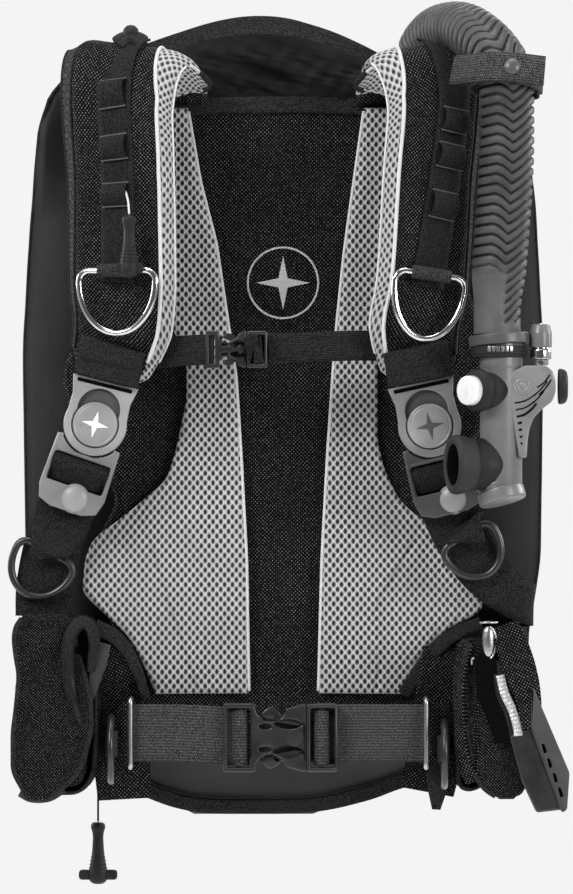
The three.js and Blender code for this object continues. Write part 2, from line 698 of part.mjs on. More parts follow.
function hose() {
  const [x, y, z] = HOSE_PIVOT;
  const end = z + HOSE_RADIUS + 1;
  add('hose_upper', 'hose', tube([
    HOSE_START, [118, 12, 296], [123, 5, 311], [136, -20, 321.5], [151, -50, 323],
    [166, -84, 320], [178.5, -116, 311], [185.5, -137, 299], [x, y - 0.6, 286], [x, y, 279],
    [x, y, end],
  ], HOSE_RADIUS, 12, 16));
  const neck = 19;
  const profile = [[0, INFLATOR_TOP + GAP], [neck, INFLATOR_TOP + GAP], [neck, 90],
    [HOSE_RADIUS, 125], [HOSE_RADIUS, z]];
  for (let step = 1; step <= 5; step += 1) {
    const angle = radians(18 * step);
    profile.push([HOSE_RADIUS * Math.cos(angle), z + HOSE_RADIUS * Math.sin(angle)]);
  }
  profile[profile.length - 1][0] = 0;
  const lathe = new THREE.LatheGeometry(profile.map(([r, h]) => new THREE.Vector2(r, h)), 20);
  add('hose_lower', 'hose', lathe.rotateX(Math.PI / 2).translate(x, y, 0));
}

// Webbing round the hose at the shoulder, its tail pointing outwards, closed by a snap.
function hoseRetainer() {
  const middle = [186, -140.4];
  const inner = HOSE_RADIUS + 6;
  const outer = inner + 2.4;
  const tall = 24;
  const around = cut(barZ(outer, tall, 24), barZ(inner, tall + 4, 24));
  const tail = box(44, 2.4, tall, 14, -outer - 1, 0);
  const root = box(12, 2.4, tall, -outer - 3, 6, 0);
  const band = joined(around, tail, root).rotateX(radians(-12)).translate(...middle, 281);
  add('hose_retainer', 'webbing', band);
  add('retainer_snap', 'plastic', barY(6.7, 3, 16).translate(190, middle[1] - outer - 6, 294));
}

const BUTTON_DIRECTION = point(-0.75, -0.66, 0).normalize();
const MOUTH_DIRECTION = point(-0.92, -0.39, 0).normalize();

// Turns a piece built along +Y to point along a level direction from the inflator's axis.
function aimed(geometry, direction, z) {
  const turn = new THREE.Quaternion().setFromUnitVectors(point(0, 1, 0), direction);
  return geometry.applyQuaternion(turn).translate(INFLATOR_X, INFLATOR_Y, z);
}

const BUTTON_Z = 20;
const MOUTH_Z = -41.6;
const HOUSING_Y = 15;

function inflator() {
  const tall = INFLATOR_TOP - INFLATOR_BOTTOM;
  const middle = (INFLATOR_TOP + INFLATOR_BOTTOM) / 2;
  const body = barZ(INFLATOR_RADIUS, tall, 28).translate(INFLATOR_X, INFLATOR_Y, middle);
  const foot = barZ(20, 14, 28).translate(INFLATOR_X, INFLATOR_Y, INFLATOR_BOTTOM + 7);
  const buttonBoss = aimed(barY(11, 29, 20).translate(0, 14.5, 0), BUTTON_DIRECTION, BUTTON_Z);
  const mouthBranch = aimed(barY(14, 27, 20).translate(0, 13.5, 0), MOUTH_DIRECTION, MOUTH_Z);
  add('inflator_body', 'tube', joined(body, foot, buttonBoss, mouthBranch));

  const button = aimed(barY(12.5, 7, 24).translate(0, 36.5, 0), BUTTON_DIRECTION, BUTTON_Z);
  add('deflate_button', 'white', button);

  const ringOuter = barY(1, 18, 28).scale(19, 1, 25.5).translate(0, 36.5, 0);
  const bore = barY(1, 14, 24).scale(12.5, 1, 18).translate(0, 41, 0);
  add('inflator_mouthpiece', 'plastic', aimed(cut(ringOuter, bore), MOUTH_DIRECTION, MOUTH_Z));

  const collar = cut(barZ(22, 19, 28), barZ(INFLATOR_RADIUS + GAP, 30, 28));
  add('hose_clamp', 'plastic', collar.translate(INFLATOR_X, INFLATOR_Y, INFLATOR_TOP - 9.5));

  const drop = new THREE.Shape();
  drop.moveTo(190, 41).lineTo(218, 41).lineTo(225, 36).lineTo(225, 11);
  drop.lineTo(214, -8).lineTo(205, -34).lineTo(198, -34).lineTo(190, -10);
  const block = upright(drop, 2 * HOUSING_Y, INFLATOR_Y + HOUSING_Y);
  const seat = barZ(INFLATOR_RADIUS + GAP, 120, 28).translate(INFLATOR_X, INFLATOR_Y, 0);
  const clampSeat = barZ(22 + GAP, 19 + 2 * GAP, 28)
    .translate(INFLATOR_X, INFLATOR_Y, INFLATOR_TOP - 9.5);
  add('inflator_housing', 'plastic', cut(block, seat, clampSeat));
  add('inflate_button', 'plastic', barX(15, 7, 24).translate(232, INFLATOR_Y, 23.5));

  const nipple = joined(barZ(7, 22, 16).translate(0, 0, 11), barZ(9, 8, 16).translate(0, 0, 8),
    barZ(5, 35, 16).translate(0, 0, 17.5));
  add('inflator_nipple', 'steel', nipple.translate(216, INFLATOR_Y, 41 + GAP));
}

// ---- dump valves and their pulls

// A T-shaped pull, its top at z = 0.
function pullKnob(tall, wings) {
  const stem = new THREE.LatheGeometry([
    [0, -tall], [5, -tall], [6.5, -tall + 9], [4.6, -tall * 0.45], [4, -9], [6, -5], [6, -1], [0, 0],
  ].map(([r, z]) => new THREE.Vector2(r, z)), 12).rotateX(Math.PI / 2);
  const wing = upright(roundedRect(-wings / 2, -tall + 4, wings / 2, -tall + 13, 3), 7, 3.5);
  return joined(stem, wing);
}

function dumpValves() {
  const shoulder = joined(barY(24, 12, 28).translate(0, 6, 0), barY(17, 18, 24).translate(0, 9, 0));
  add('shoulder_dump_valve', 'plastic', shoulder.translate(-134, -14.8, 250));
  add('shoulder_dump_knob', 'plastic', pullKnob(52, 24).translate(-127.5, -173, 165));

  const disc = barY(21, 11, 28).translate(-150, -8.6, -258);
  const spout = barZ(4, 20, 16).translate(PULL_X, PULL_Y, -275);
  const hole = barZ(1.6, 16, 12).translate(PULL_X, PULL_Y, -279);
  add('rear_dump_valve', 'plastic', cut(joined(disc, spout), hole));
  add('rear_dump_cord', 'webbing', tube([
    [PULL_X, PULL_Y, -273], [PULL_X, PULL_Y, -298], [PULL_X, PULL_Y, -323],
    [PULL_X, PULL_Y, -347.6],
  ], 0.9, 8, 12));
  add('rear_dump_knob', 'plastic', pullKnob(53.5, 33).translate(PULL_X, PULL_Y, -348));
}

// ---------------------------------------------------------------- assembly

backPlate();
grabHandle();
tankBand();
camBuckle();
airCell();
backPanel();
backPads();
shoulders();
rings();
chestStraps();
waistStraps();
buckles();
shoulderBuckle('right', -157.5, -8, 14, 19);
shoulderBuckle('left', 122.9, -9.2, -12, -14);
lowerWebbings();
sidePocket('right');
sidePocket('left');
weightHandle();
waistLoop('right_waist_loop', -128, -108);
waistLoop('left_waist_loop', 120, -109);
hoseElbow();
hose();
hoseRetainer();
inflator();
dumpValves();

export default vest;
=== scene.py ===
"""The looks of the buoyancy vest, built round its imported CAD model.

The CAD's frame: +Z up, the wearer's side at -Y, the wearer's left at +X. Shapes are written in
millimetres, as in the CAD, and become metres where a mesh is made. Fabric patterns are in
millimetres too.
"""

import math
from contextlib import contextmanager

import bmesh
import bpy
import numpy as np
from mathutils import Matrix, Vector


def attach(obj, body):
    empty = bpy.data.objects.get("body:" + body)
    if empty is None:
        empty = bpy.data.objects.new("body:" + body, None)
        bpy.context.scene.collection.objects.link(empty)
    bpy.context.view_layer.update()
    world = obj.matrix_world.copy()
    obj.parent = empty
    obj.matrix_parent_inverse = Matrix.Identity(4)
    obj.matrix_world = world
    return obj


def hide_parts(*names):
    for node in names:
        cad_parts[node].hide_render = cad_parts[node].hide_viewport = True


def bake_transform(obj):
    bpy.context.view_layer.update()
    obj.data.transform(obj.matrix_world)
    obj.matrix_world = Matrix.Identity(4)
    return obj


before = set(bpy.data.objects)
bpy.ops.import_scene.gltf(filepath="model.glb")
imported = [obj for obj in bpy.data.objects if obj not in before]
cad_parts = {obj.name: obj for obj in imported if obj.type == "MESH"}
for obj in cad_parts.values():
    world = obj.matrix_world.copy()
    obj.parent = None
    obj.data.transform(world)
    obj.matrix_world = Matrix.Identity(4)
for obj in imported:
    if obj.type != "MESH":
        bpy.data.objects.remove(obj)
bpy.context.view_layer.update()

MM = 0.001
TAU = 2 * math.pi

# ---------------------------------------------------------------- shapes


def outline(*pairs):
    """A function that reads a value between the (place, value) pairs of a short outline."""
    places, values = zip(*pairs)
    return lambda place: np.interp(place, places, values)


def spline(points, shares):
    """Points at shares 0 to 1 of a centripetal Catmull-Rom curve, the CAD's kind of curve."""
    p = np.asarray(points, float)
    p = np.vstack([2 * p[0] - p[1], p, 2 * p[-1] - p[-2]])
    place = np.clip(np.asarray(shares, float), 0, 1) * (len(p) - 3)
    i = np.minimum(place.astype(int), len(p) - 4)
    w = (place - i)[:, None]
    a, b, c, d = p[i], p[i + 1], p[i + 2], p[i + 3]
    ab, bc, cd = (np.maximum(((u - v) ** 2).sum(1), 1e-9)[:, None] ** 0.25
                  for u, v in ((a, b), (b, c), (c, d)))
    start = ((b - a) / ab - (c - a) / (ab + bc) + (c - b) / bc) * bc
    end = ((c - b) / bc - (d - b) / (bc + cd) + (d - c) / cd) * bc
    return (b + start * w + (3 * (c - b) - 2 * start - end) * w ** 2
            + (2 * (b - c) + start + end) * w ** 3)


def unit(v):
    return v / np.maximum(np.linalg.norm(v, axis=-1, keepdims=True), 1e-12)


def smooth(x):
    """A share eased at both of its ends, 0 below 0 and 1 above 1."""
    x = np.clip(x, 0, 1)
    return x * x * (3 - 2 * x)


def round_angles(count):
    """Even angles once round a circle."""
    return np.linspace(0, TAU, count, endpoint=False)


def averaged(values, count):
    """A row of values, each averaged with its count - 1 neighbours."""
    return np.convolve(np.pad(values, count // 2, "edge"), np.ones(count) / count, "valid")


def ripple(a, b, seed, waves=5, longest=1.0):
    """A gentle seeded waviness from -1 to 1 over two coordinates; longest is its longest wave."""
    draw = np.random.default_rng(seed)
    total = np.zeros(np.broadcast(a, b).shape)
    for k in range(waves):
        turn, phase = draw.uniform(0, TAU, 2)
        rate = TAU / longest * (1 + 0.8 * k)
        total += np.sin(rate * (a * math.cos(turn) + b * math.sin(turn)) + phase) / (1 + 0.7 * k)
    return total / 2.2


def mesh_object(name, places, faces, uvs=None, groups=None, shade_smooth=True):
    """A mesh object from millimetre places. uvs has one pair for each corner of each face."""
    mesh = bpy.data.meshes.new(name)
    mesh.from_pydata((np.asarray(places, float) * MM).tolist(), [], faces)
    if uvs is not None:
        mesh.uv_layers.new(name="UVMap").data.foreach_set("uv", np.asarray(uvs, np.float32).ravel())
    if groups is not None:
        mesh.polygons.foreach_set("material_index", np.asarray(groups, np.int32))
    if shade_smooth:
        mesh.polygons.foreach_set("use_smooth", np.ones(len(mesh.polygons), bool))
    mesh.update()
    made = bpy.data.objects.new(name, mesh)
    bpy.context.scene.collection.objects.link(made)
    return made


def grid_faces(rows, columns, closed):
    """Quads over a grid of rows by columns; a closed grid wraps its last column on to its first."""
    r, c = np.meshgrid(np.arange(rows - 1), np.arange(columns if closed else columns - 1),
                       indexing="ij")
    after = (c + 1) % columns
    return np.stack([r * columns + c, r * columns + after,
                     (r + 1) * columns + after, (r + 1) * columns + c], -1).reshape(-1, 4)


def skin(name, grid, uv=None, closed=True, caps=True, groups=None):
    """A mesh over grid[row, column] in millimetres. uv[row, column], also in millimetres, has one
    more column on a closed grid; without it, lengths along and round the grid are used."""
    grid = np.asarray(grid, float)
    rows, columns = grid.shape[:2]
    if uv is None:
        ring = np.concatenate([grid, grid[:, :1]], 1) if closed else grid
        round_it = np.linalg.norm(np.diff(ring, axis=1), axis=2).mean(0)
        along = np.linalg.norm(np.diff(grid, axis=0), axis=2).mean(1)
        u, v = np.append(0, np.cumsum(round_it)), np.append(0, np.cumsum(along))
        uv = np.stack(np.meshgrid(u, v), -1)
    faces = grid_faces(rows, columns, closed)
    wide = uv.shape[1]
    flat = np.asarray(uv, float).reshape(-1, 2)
    r, c = np.meshgrid(np.arange(rows - 1), np.arange(wide - 1), indexing="ij")
    corners = np.stack([r * wide + c, r * wide + c + 1, (r + 1) * wide + c + 1,
                        (r + 1) * wide + c], -1).reshape(-1)
    loops = flat[corners]
    faces = faces.tolist()
    marks = list(np.zeros(len(faces), int) if groups is None else np.asarray(groups).ravel())
    if closed and caps:
        first, last = list(range(columns))[::-1], list(range((rows - 1) * columns, rows * columns))
        for cap in (first, last):
            faces.append(cap)
            marks.append(marks[0] if cap is first else marks[-1])
            places = grid.reshape(-1, 3)[cap]
            loops = np.vstack([loops, places[:, [0, 2]]])
    made = mesh_object(name, grid.reshape(-1, 3), faces, loops * MM, marks)
    face_out(made)
    return made


@contextmanager
def editing(piece):
    """A piece's mesh as a bmesh, written back when the block ends."""
    work = bmesh.new()
    work.from_mesh(piece.data)
    yield work
    work.to_mesh(piece.data)
    work.free()


def face_out(piece):
    """Turns a closed piece's faces outwards."""
    with editing(piece) as work:
        bmesh.ops.recalc_face_normals(work, faces=work.faces)


def frames_of(stations, shares):
    """Centre, out and across at shares of a band's stations [x, y, z, nx, ny, nz]."""
    st = np.asarray([s[:6] for s in stations], float)
    centre = spline(st[:, :3], shares)
    step = 1e-3
    along = unit(spline(st[:, :3], shares + step) - spline(st[:, :3], shares - step))
    out = spline(st[:, 3:], shares)
    out = unit(out - (out * along).sum(1, keepdims=True) * along)
    return centre, out, np.cross(along, out)


def lengths(places):
    return np.append(0, np.cumsum(np.linalg.norm(np.diff(places, axis=0), axis=1)))


def band(name, stations, width, thick=2.4, lift=0.0, span=(0, 1), steps=60, sag=None, columns=6):
    """Webbing along stations: a flat band with soft edges, width by thick. width is one number or
    several at even shares. sag(share) lifts the band."""
    shares = np.linspace(*span, steps)
    centre, out, across = frames_of(stations, shares)
    rise = lift + (0 if sag is None else sag(np.linspace(0, 1, steps)))
    centre = centre + out * np.reshape(rise, (-1, 1))
    side = np.linspace(-0.5, 0.5, columns)
    edge = 0.12 * thick
    top = [(s, 0.5) for s in side]
    low = [(s, -0.5) for s in side[::-1]]
    section = np.array([*top, (0.5, 0), *low, (-0.5, 0)])
    given = np.atleast_1d(np.asarray(width, float))
    section[[columns, -1], 0] *= 1 + edge / given.mean()
    wide = np.interp(np.linspace(0, 1, steps), np.linspace(0, 1, len(given)), given)
    grid = (centre[:, None]
            + across[:, None] * (section[:, 0][None, :, None] * wide[:, None, None])
            + out[:, None] * (section[:, 1] * thick)[None, :, None])
    v = lengths(centre)
    u = np.append(section[:, 0], section[0, 0])
    uv = np.stack([u[None] * wide[:, None], np.broadcast_to(v[:, None], (steps, len(u)))], -1)
    return skin(name, grid, uv)


OFF_AXIS = [0.31, 0.87, 0.39]     # a direction that no tube runs along


def tube(name, places, radius, sides=16, steps=None, closed=False):
    """A round tube along places; radius is a number or one for each step."""
    places = np.asarray(places, float)
    if steps and not closed:
        places = spline(places, np.linspace(0, 1, steps))
    count = len(places)
    before, after = np.roll(places, 1, 0), np.roll(places, -1, 0)
    if not closed:
        before[0], after[-1] = places[0], places[-1]
    along = unit(after - before)
    side = unit(np.cross(along, OFF_AXIS))
    for k in range(1, count):
        side[k] = unit(side[k - 1] - (side[k - 1] @ along[k]) * along[k])
    up = np.cross(along, side)
    if closed:
        slip = math.atan2(side[-1] @ up[0], side[-1] @ side[0])
        turn = np.linspace(0, -slip, count)[:, None]
        side, up = side * np.cos(turn) + up * np.sin(turn), up * np.cos(turn) - side * np.sin(turn)
    angle = round_angles(sides)
    reach = np.broadcast_to(np.asarray(radius, float), (count,))[:, None, None]
    grid = places[:, None] + reach * (side[:, None] * np.cos(angle)[None, :, None]
                                      + up[:, None] * np.sin(angle)[None, :, None])
    if closed:
        grid = np.concatenate([grid, grid[:1]])
        made = skin(name, grid, caps=False)
        weld(made)
        return made
    return skin(name, grid)


def weld(piece, near=1e-5):
    """Joins the points nearer than a distance in metres, and turns the faces outwards."""
    with editing(piece) as work:
        bmesh.ops.remove_doubles(work, verts=work.verts, dist=near)
        bmesh.ops.recalc_face_normals(work, faces=work.faces)


def turned(name, profile, steps=48, axis="Z"):
    """A lathe solid round an axis. profile is [(radius, height)] from one pole to the other."""
    profile = np.asarray(profile, float)
    angle = round_angles(steps)
    radius, height = profile[:, 0], profile[:, 1]
    grid = np.stack([radius[:, None] * np.cos(angle), radius[:, None] * np.sin(angle),
                     np.broadcast_to(height[:, None], (len(profile), steps))], -1)
    made = skin(name, grid)
    weld(made)
    if axis == "Y":
        made.data.transform(tip(90))
    if axis == "X":
        made.data.transform(lean(90))
    return made


def corner_arc(before, here, after, radius, steps, least):
    """Points round a corner, starting radius from it or the shorter side's length / least."""
    back, on = before - here, after - here
    reach = min(radius, np.linalg.norm(back) / least, np.linalg.norm(on) / least)
    start, end = here + unit(back) * reach, here + unit(on) * reach
    return [(1 - t) ** 2 * start + 2 * t * (1 - t) * here + t * t * end
            for t in np.linspace(0, 1, steps)]


def softened(profile, radius=1.0, steps=4):
    """A lathe or plate profile with its corners rounded off."""
    p = np.asarray(profile, float)
    out = [p[0]]
    for before, here, after in zip(p[:-2], p[1:-1], p[2:]):
        out += corner_arc(before, here, after, radius, steps, 2.2)
    return np.array([*out, p[-1]])


def ring_round(points, radius, steps=5):
    """A closed outline with rounded corners; radius is one number or one for each corner."""
    p = np.asarray(points, float)
    reach = np.broadcast_to(np.asarray(radius, float), (len(p),))
    out = []
    for before, here, after, r in zip(np.roll(p, 1, 0), p, np.roll(p, -1, 0), reach):
        out += corner_arc(before, here, after, r, steps, 2.05)
    return np.array(out)


def box_ring(left, low, right, high, radius, steps=5):
    return ring_round([(left, low), (right, low), (right, high), (left, high)], radius, steps)


def oval_ring(x, z, wide, tall, steps=24):
    angle = round_angles(steps)
    return np.stack([x + wide * np.cos(angle), z + tall * np.sin(angle)], -1)


def star_ring(far, near, x=0, z=0):
    """A four-pointed star, its points at the radius far and its notches at near."""
    reach = np.where(np.arange(8) % 2, near, far)
    angle = np.arange(8) * TAU / 8 + math.pi / 2
    return np.stack([x + reach * np.cos(angle), z + reach * np.sin(angle)], -1)


def plate(name, rings, front, back, bevel=0.8, bevel_steps=2):
    """A plate in the XZ plane between y = front and y = back, front the smaller, with rounded
    edges. rings are closed outlines: the first is the rim, the others are holes through it."""
    shape = bpy.data.curves.new(name, "CURVE")
    shape.dimensions = "2D"
    shape.fill_mode = "BOTH"
    shape.extrude = (back - front) / 2 * MM - bevel * MM
    shape.bevel_depth = bevel * MM
    shape.bevel_resolution = bevel_steps
    for index, ring in enumerate(rings):
        ring = shrunk(ring, bevel if index == 0 else -bevel)
        ring = spaced(ring) if bevel > 0.3 else ring
        line = shape.splines.new("POLY")
        line.points.add(len(ring) - 1)
        line.points.foreach_set("co", np.column_stack(
            [ring * MM, np.zeros(len(ring)), np.ones(len(ring))]).ravel().astype(np.float32))
        line.use_cyclic_u = True
    holder = bpy.data.objects.new(name, shape)
    bpy.context.scene.collection.objects.link(holder)
    bpy.context.view_layer.update()
    mesh = bpy.data.meshes.new_from_object(holder.evaluated_get(
        bpy.context.evaluated_depsgraph_get()))
    bpy.data.objects.remove(holder)
    mesh.transform(Matrix.Translation((0, (front + back) / 2 * MM, 0))
                   @ tip(90))
    made = bpy.data.objects.new(name, mesh)
    bpy.context.scene.collection.objects.link(made)
    weld(made, 2e-6)
    shade_by_angle(made)
    return made


def shrunk(ring, by):
    """A closed outline moved inwards by a distance, or outwards if it is negative."""
    p = np.asarray(ring, float)
    before, after = np.roll(p, 1, 0), np.roll(p, -1, 0)
    keep = np.linalg.norm(p - before, axis=1) > 1e-4
    p = p[keep]
    before, after = np.roll(p, 1, 0), np.roll(p, -1, 0)
    inner = unit(after - before)
    normal = np.stack([-inner[:, 1], inner[:, 0]], -1)
    area = (p[:, 0] * after[:, 1] - after[:, 0] * p[:, 1]).sum()
    return p + normal * (by if area > 0 else -by)


def spaced(ring, least=0.3):
    """An outline without the points that crowd together or double back, which would spike."""
    kept = [ring[0]]
    for p in ring[1:]:
        if np.linalg.norm(p - kept[-1]) > least:
            kept.append(p)
    while len(kept) > 4 and np.linalg.norm(kept[0] - kept[-1]) < least:
        kept.pop()
    while True:
        p = np.array(kept)
        into, on = unit(p - np.roll(p, 1, 0)), unit(np.roll(p, -1, 0) - p)
        sharp = np.flatnonzero((into * on).sum(1) < -0.35)
        if not len(sharp) or len(kept) < 5:
            return p
        kept.pop(int(sharp[0]))


def shade_by_angle(piece, degrees=38):
    """Smooth shading with the edges over an angle kept sharp."""
    with editing(piece) as work:
        for face in work.faces:
            face.smooth = True
        for edge in work.edges:
            sharp = len(edge.link_faces) == 2 and edge.calc_face_angle(0) > math.radians(degrees)
            edge.smooth = not sharp


def moved(piece, *steps):
    """Moves a mesh by matrices, first to last."""
    for step in steps:
        piece.data.transform(step)
    return piece


def shift(x, y, z):
    return Matrix.Translation((x * MM, y * MM, z * MM))


def lean(degrees):
    """Turns +X down towards -Z by degrees."""
    return Matrix.Rotation(math.radians(degrees), 4, "Y")


def tip(degrees):
    """Turns +Y up towards +Z by degrees."""
    return Matrix.Rotation(math.radians(degrees), 4, "X")


def turn(degrees):
    return Matrix.Rotation(math.radians(degrees), 4, "Z")


def joined(name, pieces):
    """One object from several, each keeping its own material."""
    first = pieces[0]
    with bpy.context.temp_override(active_object=first, object=first,
                                   selected_editable_objects=pieces, selected_objects=pieces):
        bpy.ops.object.join()
    first.name = name
    first.data.name = name
    return first


def dressed(piece, look, nodes=(), body="vest"):
    """Gives a piece its look or looks and its body, and hides the CAD nodes that it stands for.
    A piece that already has materials keeps them."""
    looks = (look,) if isinstance(look, str) else look
    if not piece.data.materials:
        for name in looks:
            piece.data.materials.append(LOOK[name])
    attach(piece, body)
    if nodes:
        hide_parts(*nodes)
    return piece


# ---------------------------------------------------------------- materials


class Shader:
    """A material's node tree, with short calls for the nodes that its pattern needs."""

    def __init__(self, name, **constants):
        self.material = bpy.data.materials.new(name)
        self.material.use_nodes = True
        self.tree = self.material.node_tree
        self.surface = self.tree.nodes["Principled BSDF"]
        for socket, value in constants.items():
            self.set(socket.replace("_", " "), value)

    def set(self, socket, value):
        names = {"Specular": "Specular IOR Level", "Sheen": "Sheen Weight", "Coat": "Coat Weight"}
        found = self.surface.inputs[names.get(socket, socket)]
        self.feed(found, value)

    def feed(self, socket, value):
        if isinstance(value, bpy.types.NodeSocket):
            self.tree.links.new(value, socket)
        elif socket.type == "RGBA":
            socket.default_value = (value, value, value, 1) if np.isscalar(value) else (*value, 1)
        else:
            socket.default_value = value

    def math(self, operation, *values):
        node = self.tree.nodes.new("ShaderNodeMath")
        node.operation = operation
        for socket, value in zip(node.inputs, values):
            self.feed(socket, value)
        return node.outputs[0]

    def times(self, a, b):
        return self.math("MULTIPLY", a, b)

    def plus(self, a, b):
        return self.math("ADD", a, b)

    def wave(self, value, period, phase=0.0):
        """0 to 1 and back over each period."""
        angle = self.plus(self.times(value, TAU / period), phase)
        return self.plus(self.times(self.math("SINE", angle), 0.5), 0.5)

    def range(self, value, low, high, to_low=0.0, to_high=1.0):
        node = self.tree.nodes.new("ShaderNodeMapRange")
        node.interpolation_type = "SMOOTHSTEP"
        for socket, given in zip(node.inputs, (value, low, high, to_low, to_high)):
            self.feed(socket, given)
        return node.outputs[0]

    def place(self, mapped=True):
        """Across and along coordinates in millimetres, from the UV map or from the frame."""
        source = self.tree.nodes.new("ShaderNodeTexCoord")
        split = self.tree.nodes.new("ShaderNodeSeparateXYZ")
        self.feed(split.inputs[0], source.outputs["UV" if mapped else "Object"])
        if mapped:
            return self.times(split.outputs[0], 1000), self.times(split.outputs[1], 1000)
        slope = self.times(split.outputs[1], 600)
        return (self.plus(self.times(split.outputs[0], 1000), slope),
                self.plus(self.times(split.outputs[2], 1000), slope))

    def noise(self, per_metre, detail=3.0, roughness=0.55):
        source = self.tree.nodes.new("ShaderNodeTexCoord")
        node = self.tree.nodes.new("ShaderNodeTexNoise")
        self.feed(node.inputs["Vector"], source.outputs["Object"])
        for socket, value in (("Scale", per_metre), ("Detail", detail), ("Roughness", roughness)):
            self.feed(node.inputs[socket], value)
        return node.outputs["Fac"]

    def colour(self, share, low, high):
        node = self.tree.nodes.new("ShaderNodeMix")
        node.data_type = "RGBA"
        self.feed(node.inputs["Factor"], share)
        self.feed(node.inputs[6], low)
        self.feed(node.inputs[7], high)
        return node.outputs[2]

    def relief(self, height, distance, before=None):
        """A bump of distance millimetres, on top of another."""
        node = self.tree.nodes.new("ShaderNodeBump")
        node.inputs["Strength"].default_value = 1.0
        node.inputs["Distance"].default_value = distance * MM
        self.feed(node.inputs["Height"], height)
        if before is not None:
            self.feed(node.inputs["Normal"], before)
        return node.outputs[0]


def twill(name, dark, light, pitch=2.4, mapped=True, relief=0.4, roughness=0.8, sheen=0.0):
    """Coarse ballistic cloth: diagonal rows of yarn crowns, each with a painted highlight for the
    little light it catches.
    """
    s = Shader(name, Roughness=roughness, Specular=0.05, Sheen=sheen)
    u, v = s.place(mapped)
    along, over = s.plus(u, v), s.math("SUBTRACT", u, v)
    crowns = s.times(s.wave(along, pitch * 1.414), s.wave(over, pitch * 1.414))
    speckle = s.range(s.noise(650, 2.0), 0.38, 0.68, 0.25, 1.5)
    # Painted highlight: the yarn crowns are coloured lighter, speckled, and made stronger or weaker
    # in broad patches.
    lit = s.times(s.math("POWER", crowns, 2.4), speckle)
    highlight_patches = s.range(s.noise(14, 4.0), 0.3, 0.75, 0.8, 1.25)
    s.set("Base Color", s.colour(s.math("MINIMUM", s.times(lit, highlight_patches), 1.0), dark, light))
    s.set("Normal", s.relief(s.noise(45, 3.0), 0.8, s.relief(crowns, relief)))
    return s.material


def ribbed(name, dark, light, across=1.9, along=1.25, mapped=True, relief=0.3):
    """Webbing: columns of ribs with a finer cross weave."""
    s = Shader(name, Roughness=0.75, Specular=0.06)
    u, v = s.place(mapped)
    rib = s.wave(u, across)
    stagger = s.times(s.math("ROUND", s.times(u, 1 / across)), along / 2)
    pick = s.wave(s.plus(v, stagger), along)
    crowns = s.times(s.plus(s.times(rib, 0.65), 0.35), s.plus(s.times(pick, 0.6), 0.4))
    speckle = s.range(s.noise(800, 2.0), 0.36, 0.66, 0.3, 1.5)
    # Painted highlight on the webbings and tapes: their rib and weave crowns are coloured lighter.
    # On the striped tab the same mix gives its woven stripes.
    s.set("Base Color", s.colour(s.math("MINIMUM", s.times(crowns, speckle), 1.0), dark, light))
    s.set("Normal", s.relief(s.noise(60, 2.0), 0.5, s.relief(crowns, relief)))
    return s.material


MESH_ACROSS = 6.6      # pitch of the spacer mesh's holes in a row
MESH_ALONG = 8.2       # two rows of holes


def hole_share(u, v):
    """How deep in a hole of the spacer mesh a place is, 0 on the threads and 1 in a hole."""
    def lattice(du, dv):
        a = (u / MESH_ACROSS + du) % 1 - 0.5
        b = (v / MESH_ALONG + dv) % 1 - 0.5
        return np.hypot(a * MESH_ACROSS / 1.5, b * MESH_ALONG / 2.2)
    return 1 - smooth((np.minimum(lattice(0, 0), lattice(0.5, 0.5)) - 0.75) / 0.5)


def spacer_mesh(name, thread, shade):
    """Open spacer mesh: staggered oval holes between knitted threads, with painted shade inside the
    holes and round their rims.
    """
    s = Shader(name, Roughness=0.8, Specular=0.15)
    u, v = s.place()

    def lattice(shift_by):
        a = s.math("SUBTRACT", s.math("FRACT", s.plus(s.times(u, 1 / MESH_ACROSS), shift_by)), 0.5)
        b = s.math("SUBTRACT", s.math("FRACT", s.plus(s.times(v, 1 / MESH_ALONG), shift_by)), 0.5)
        a, b = s.times(a, MESH_ACROSS / 1.5), s.times(b, MESH_ALONG / 2.2)
        return s.math("SQRT", s.plus(s.times(a, a), s.times(b, b)))

    reach = s.math("MINIMUM", lattice(100.0), lattice(100.5))
    # Painted shade inside the holes, which are coloured near black.
    deep = s.range(reach, 0.55, 1.0, 1.0, 0.0)
    # Painted shade round the holes' rims: there the threads fade to the darker shade tone.
    thin = s.range(reach, 1.05, 1.42)
    knit = s.times(s.wave(s.plus(u, v), 1.5), s.wave(s.math("SUBTRACT", u, v), 1.5))
    cloudy = s.range(s.noise(30, 3.0), 0.3, 0.7, 0.85, 1.1)
    threads = s.times(s.plus(s.times(knit, 0.45), 0.62), cloudy)
    lit = s.colour(s.math("MINIMUM", s.times(threads, thin), 1.0), shade, thread)
    s.set("Base Color", s.colour(deep, lit, 0.03))
    s.set("Normal", s.relief(s.math("SUBTRACT", s.times(knit, 0.3), deep), 0.5))
    return s.material


def moulded(name, level, roughness=0.42, coat=0.0, grain=0.05):
    """Moulded plastic: fine grain, a little cloudiness and rubbed patches."""
    s = Shader(name, Roughness=roughness, Coat=coat)
    s.set("Coat Roughness", 0.25)
    cloudy = s.noise(22, 4.0)
    s.set("Base Color", s.colour(s.range(cloudy, 0.3, 0.7), level * 0.82, level * 1.15))
    s.set("Roughness", s.range(s.noise(60, 4.0), 0.3, 0.7, roughness - 0.07, roughness + 0.08))
    s.set("Normal", s.relief(s.noise(1500, 2.0), grain))
    return s.material


def rubbery(name, level):
    s = Shader(name, Roughness=0.55, Specular=0.2)
    s.set("Base Color", s.colour(s.range(s.noise(28, 4.0), 0.3, 0.7), level * 0.8, level * 1.2))
    s.set("Roughness", s.range(s.noise(90, 4.0), 0.3, 0.7, 0.48, 0.66))
    s.set("Normal", s.relief(s.noise(900, 3.0), 0.08))
    return s.material


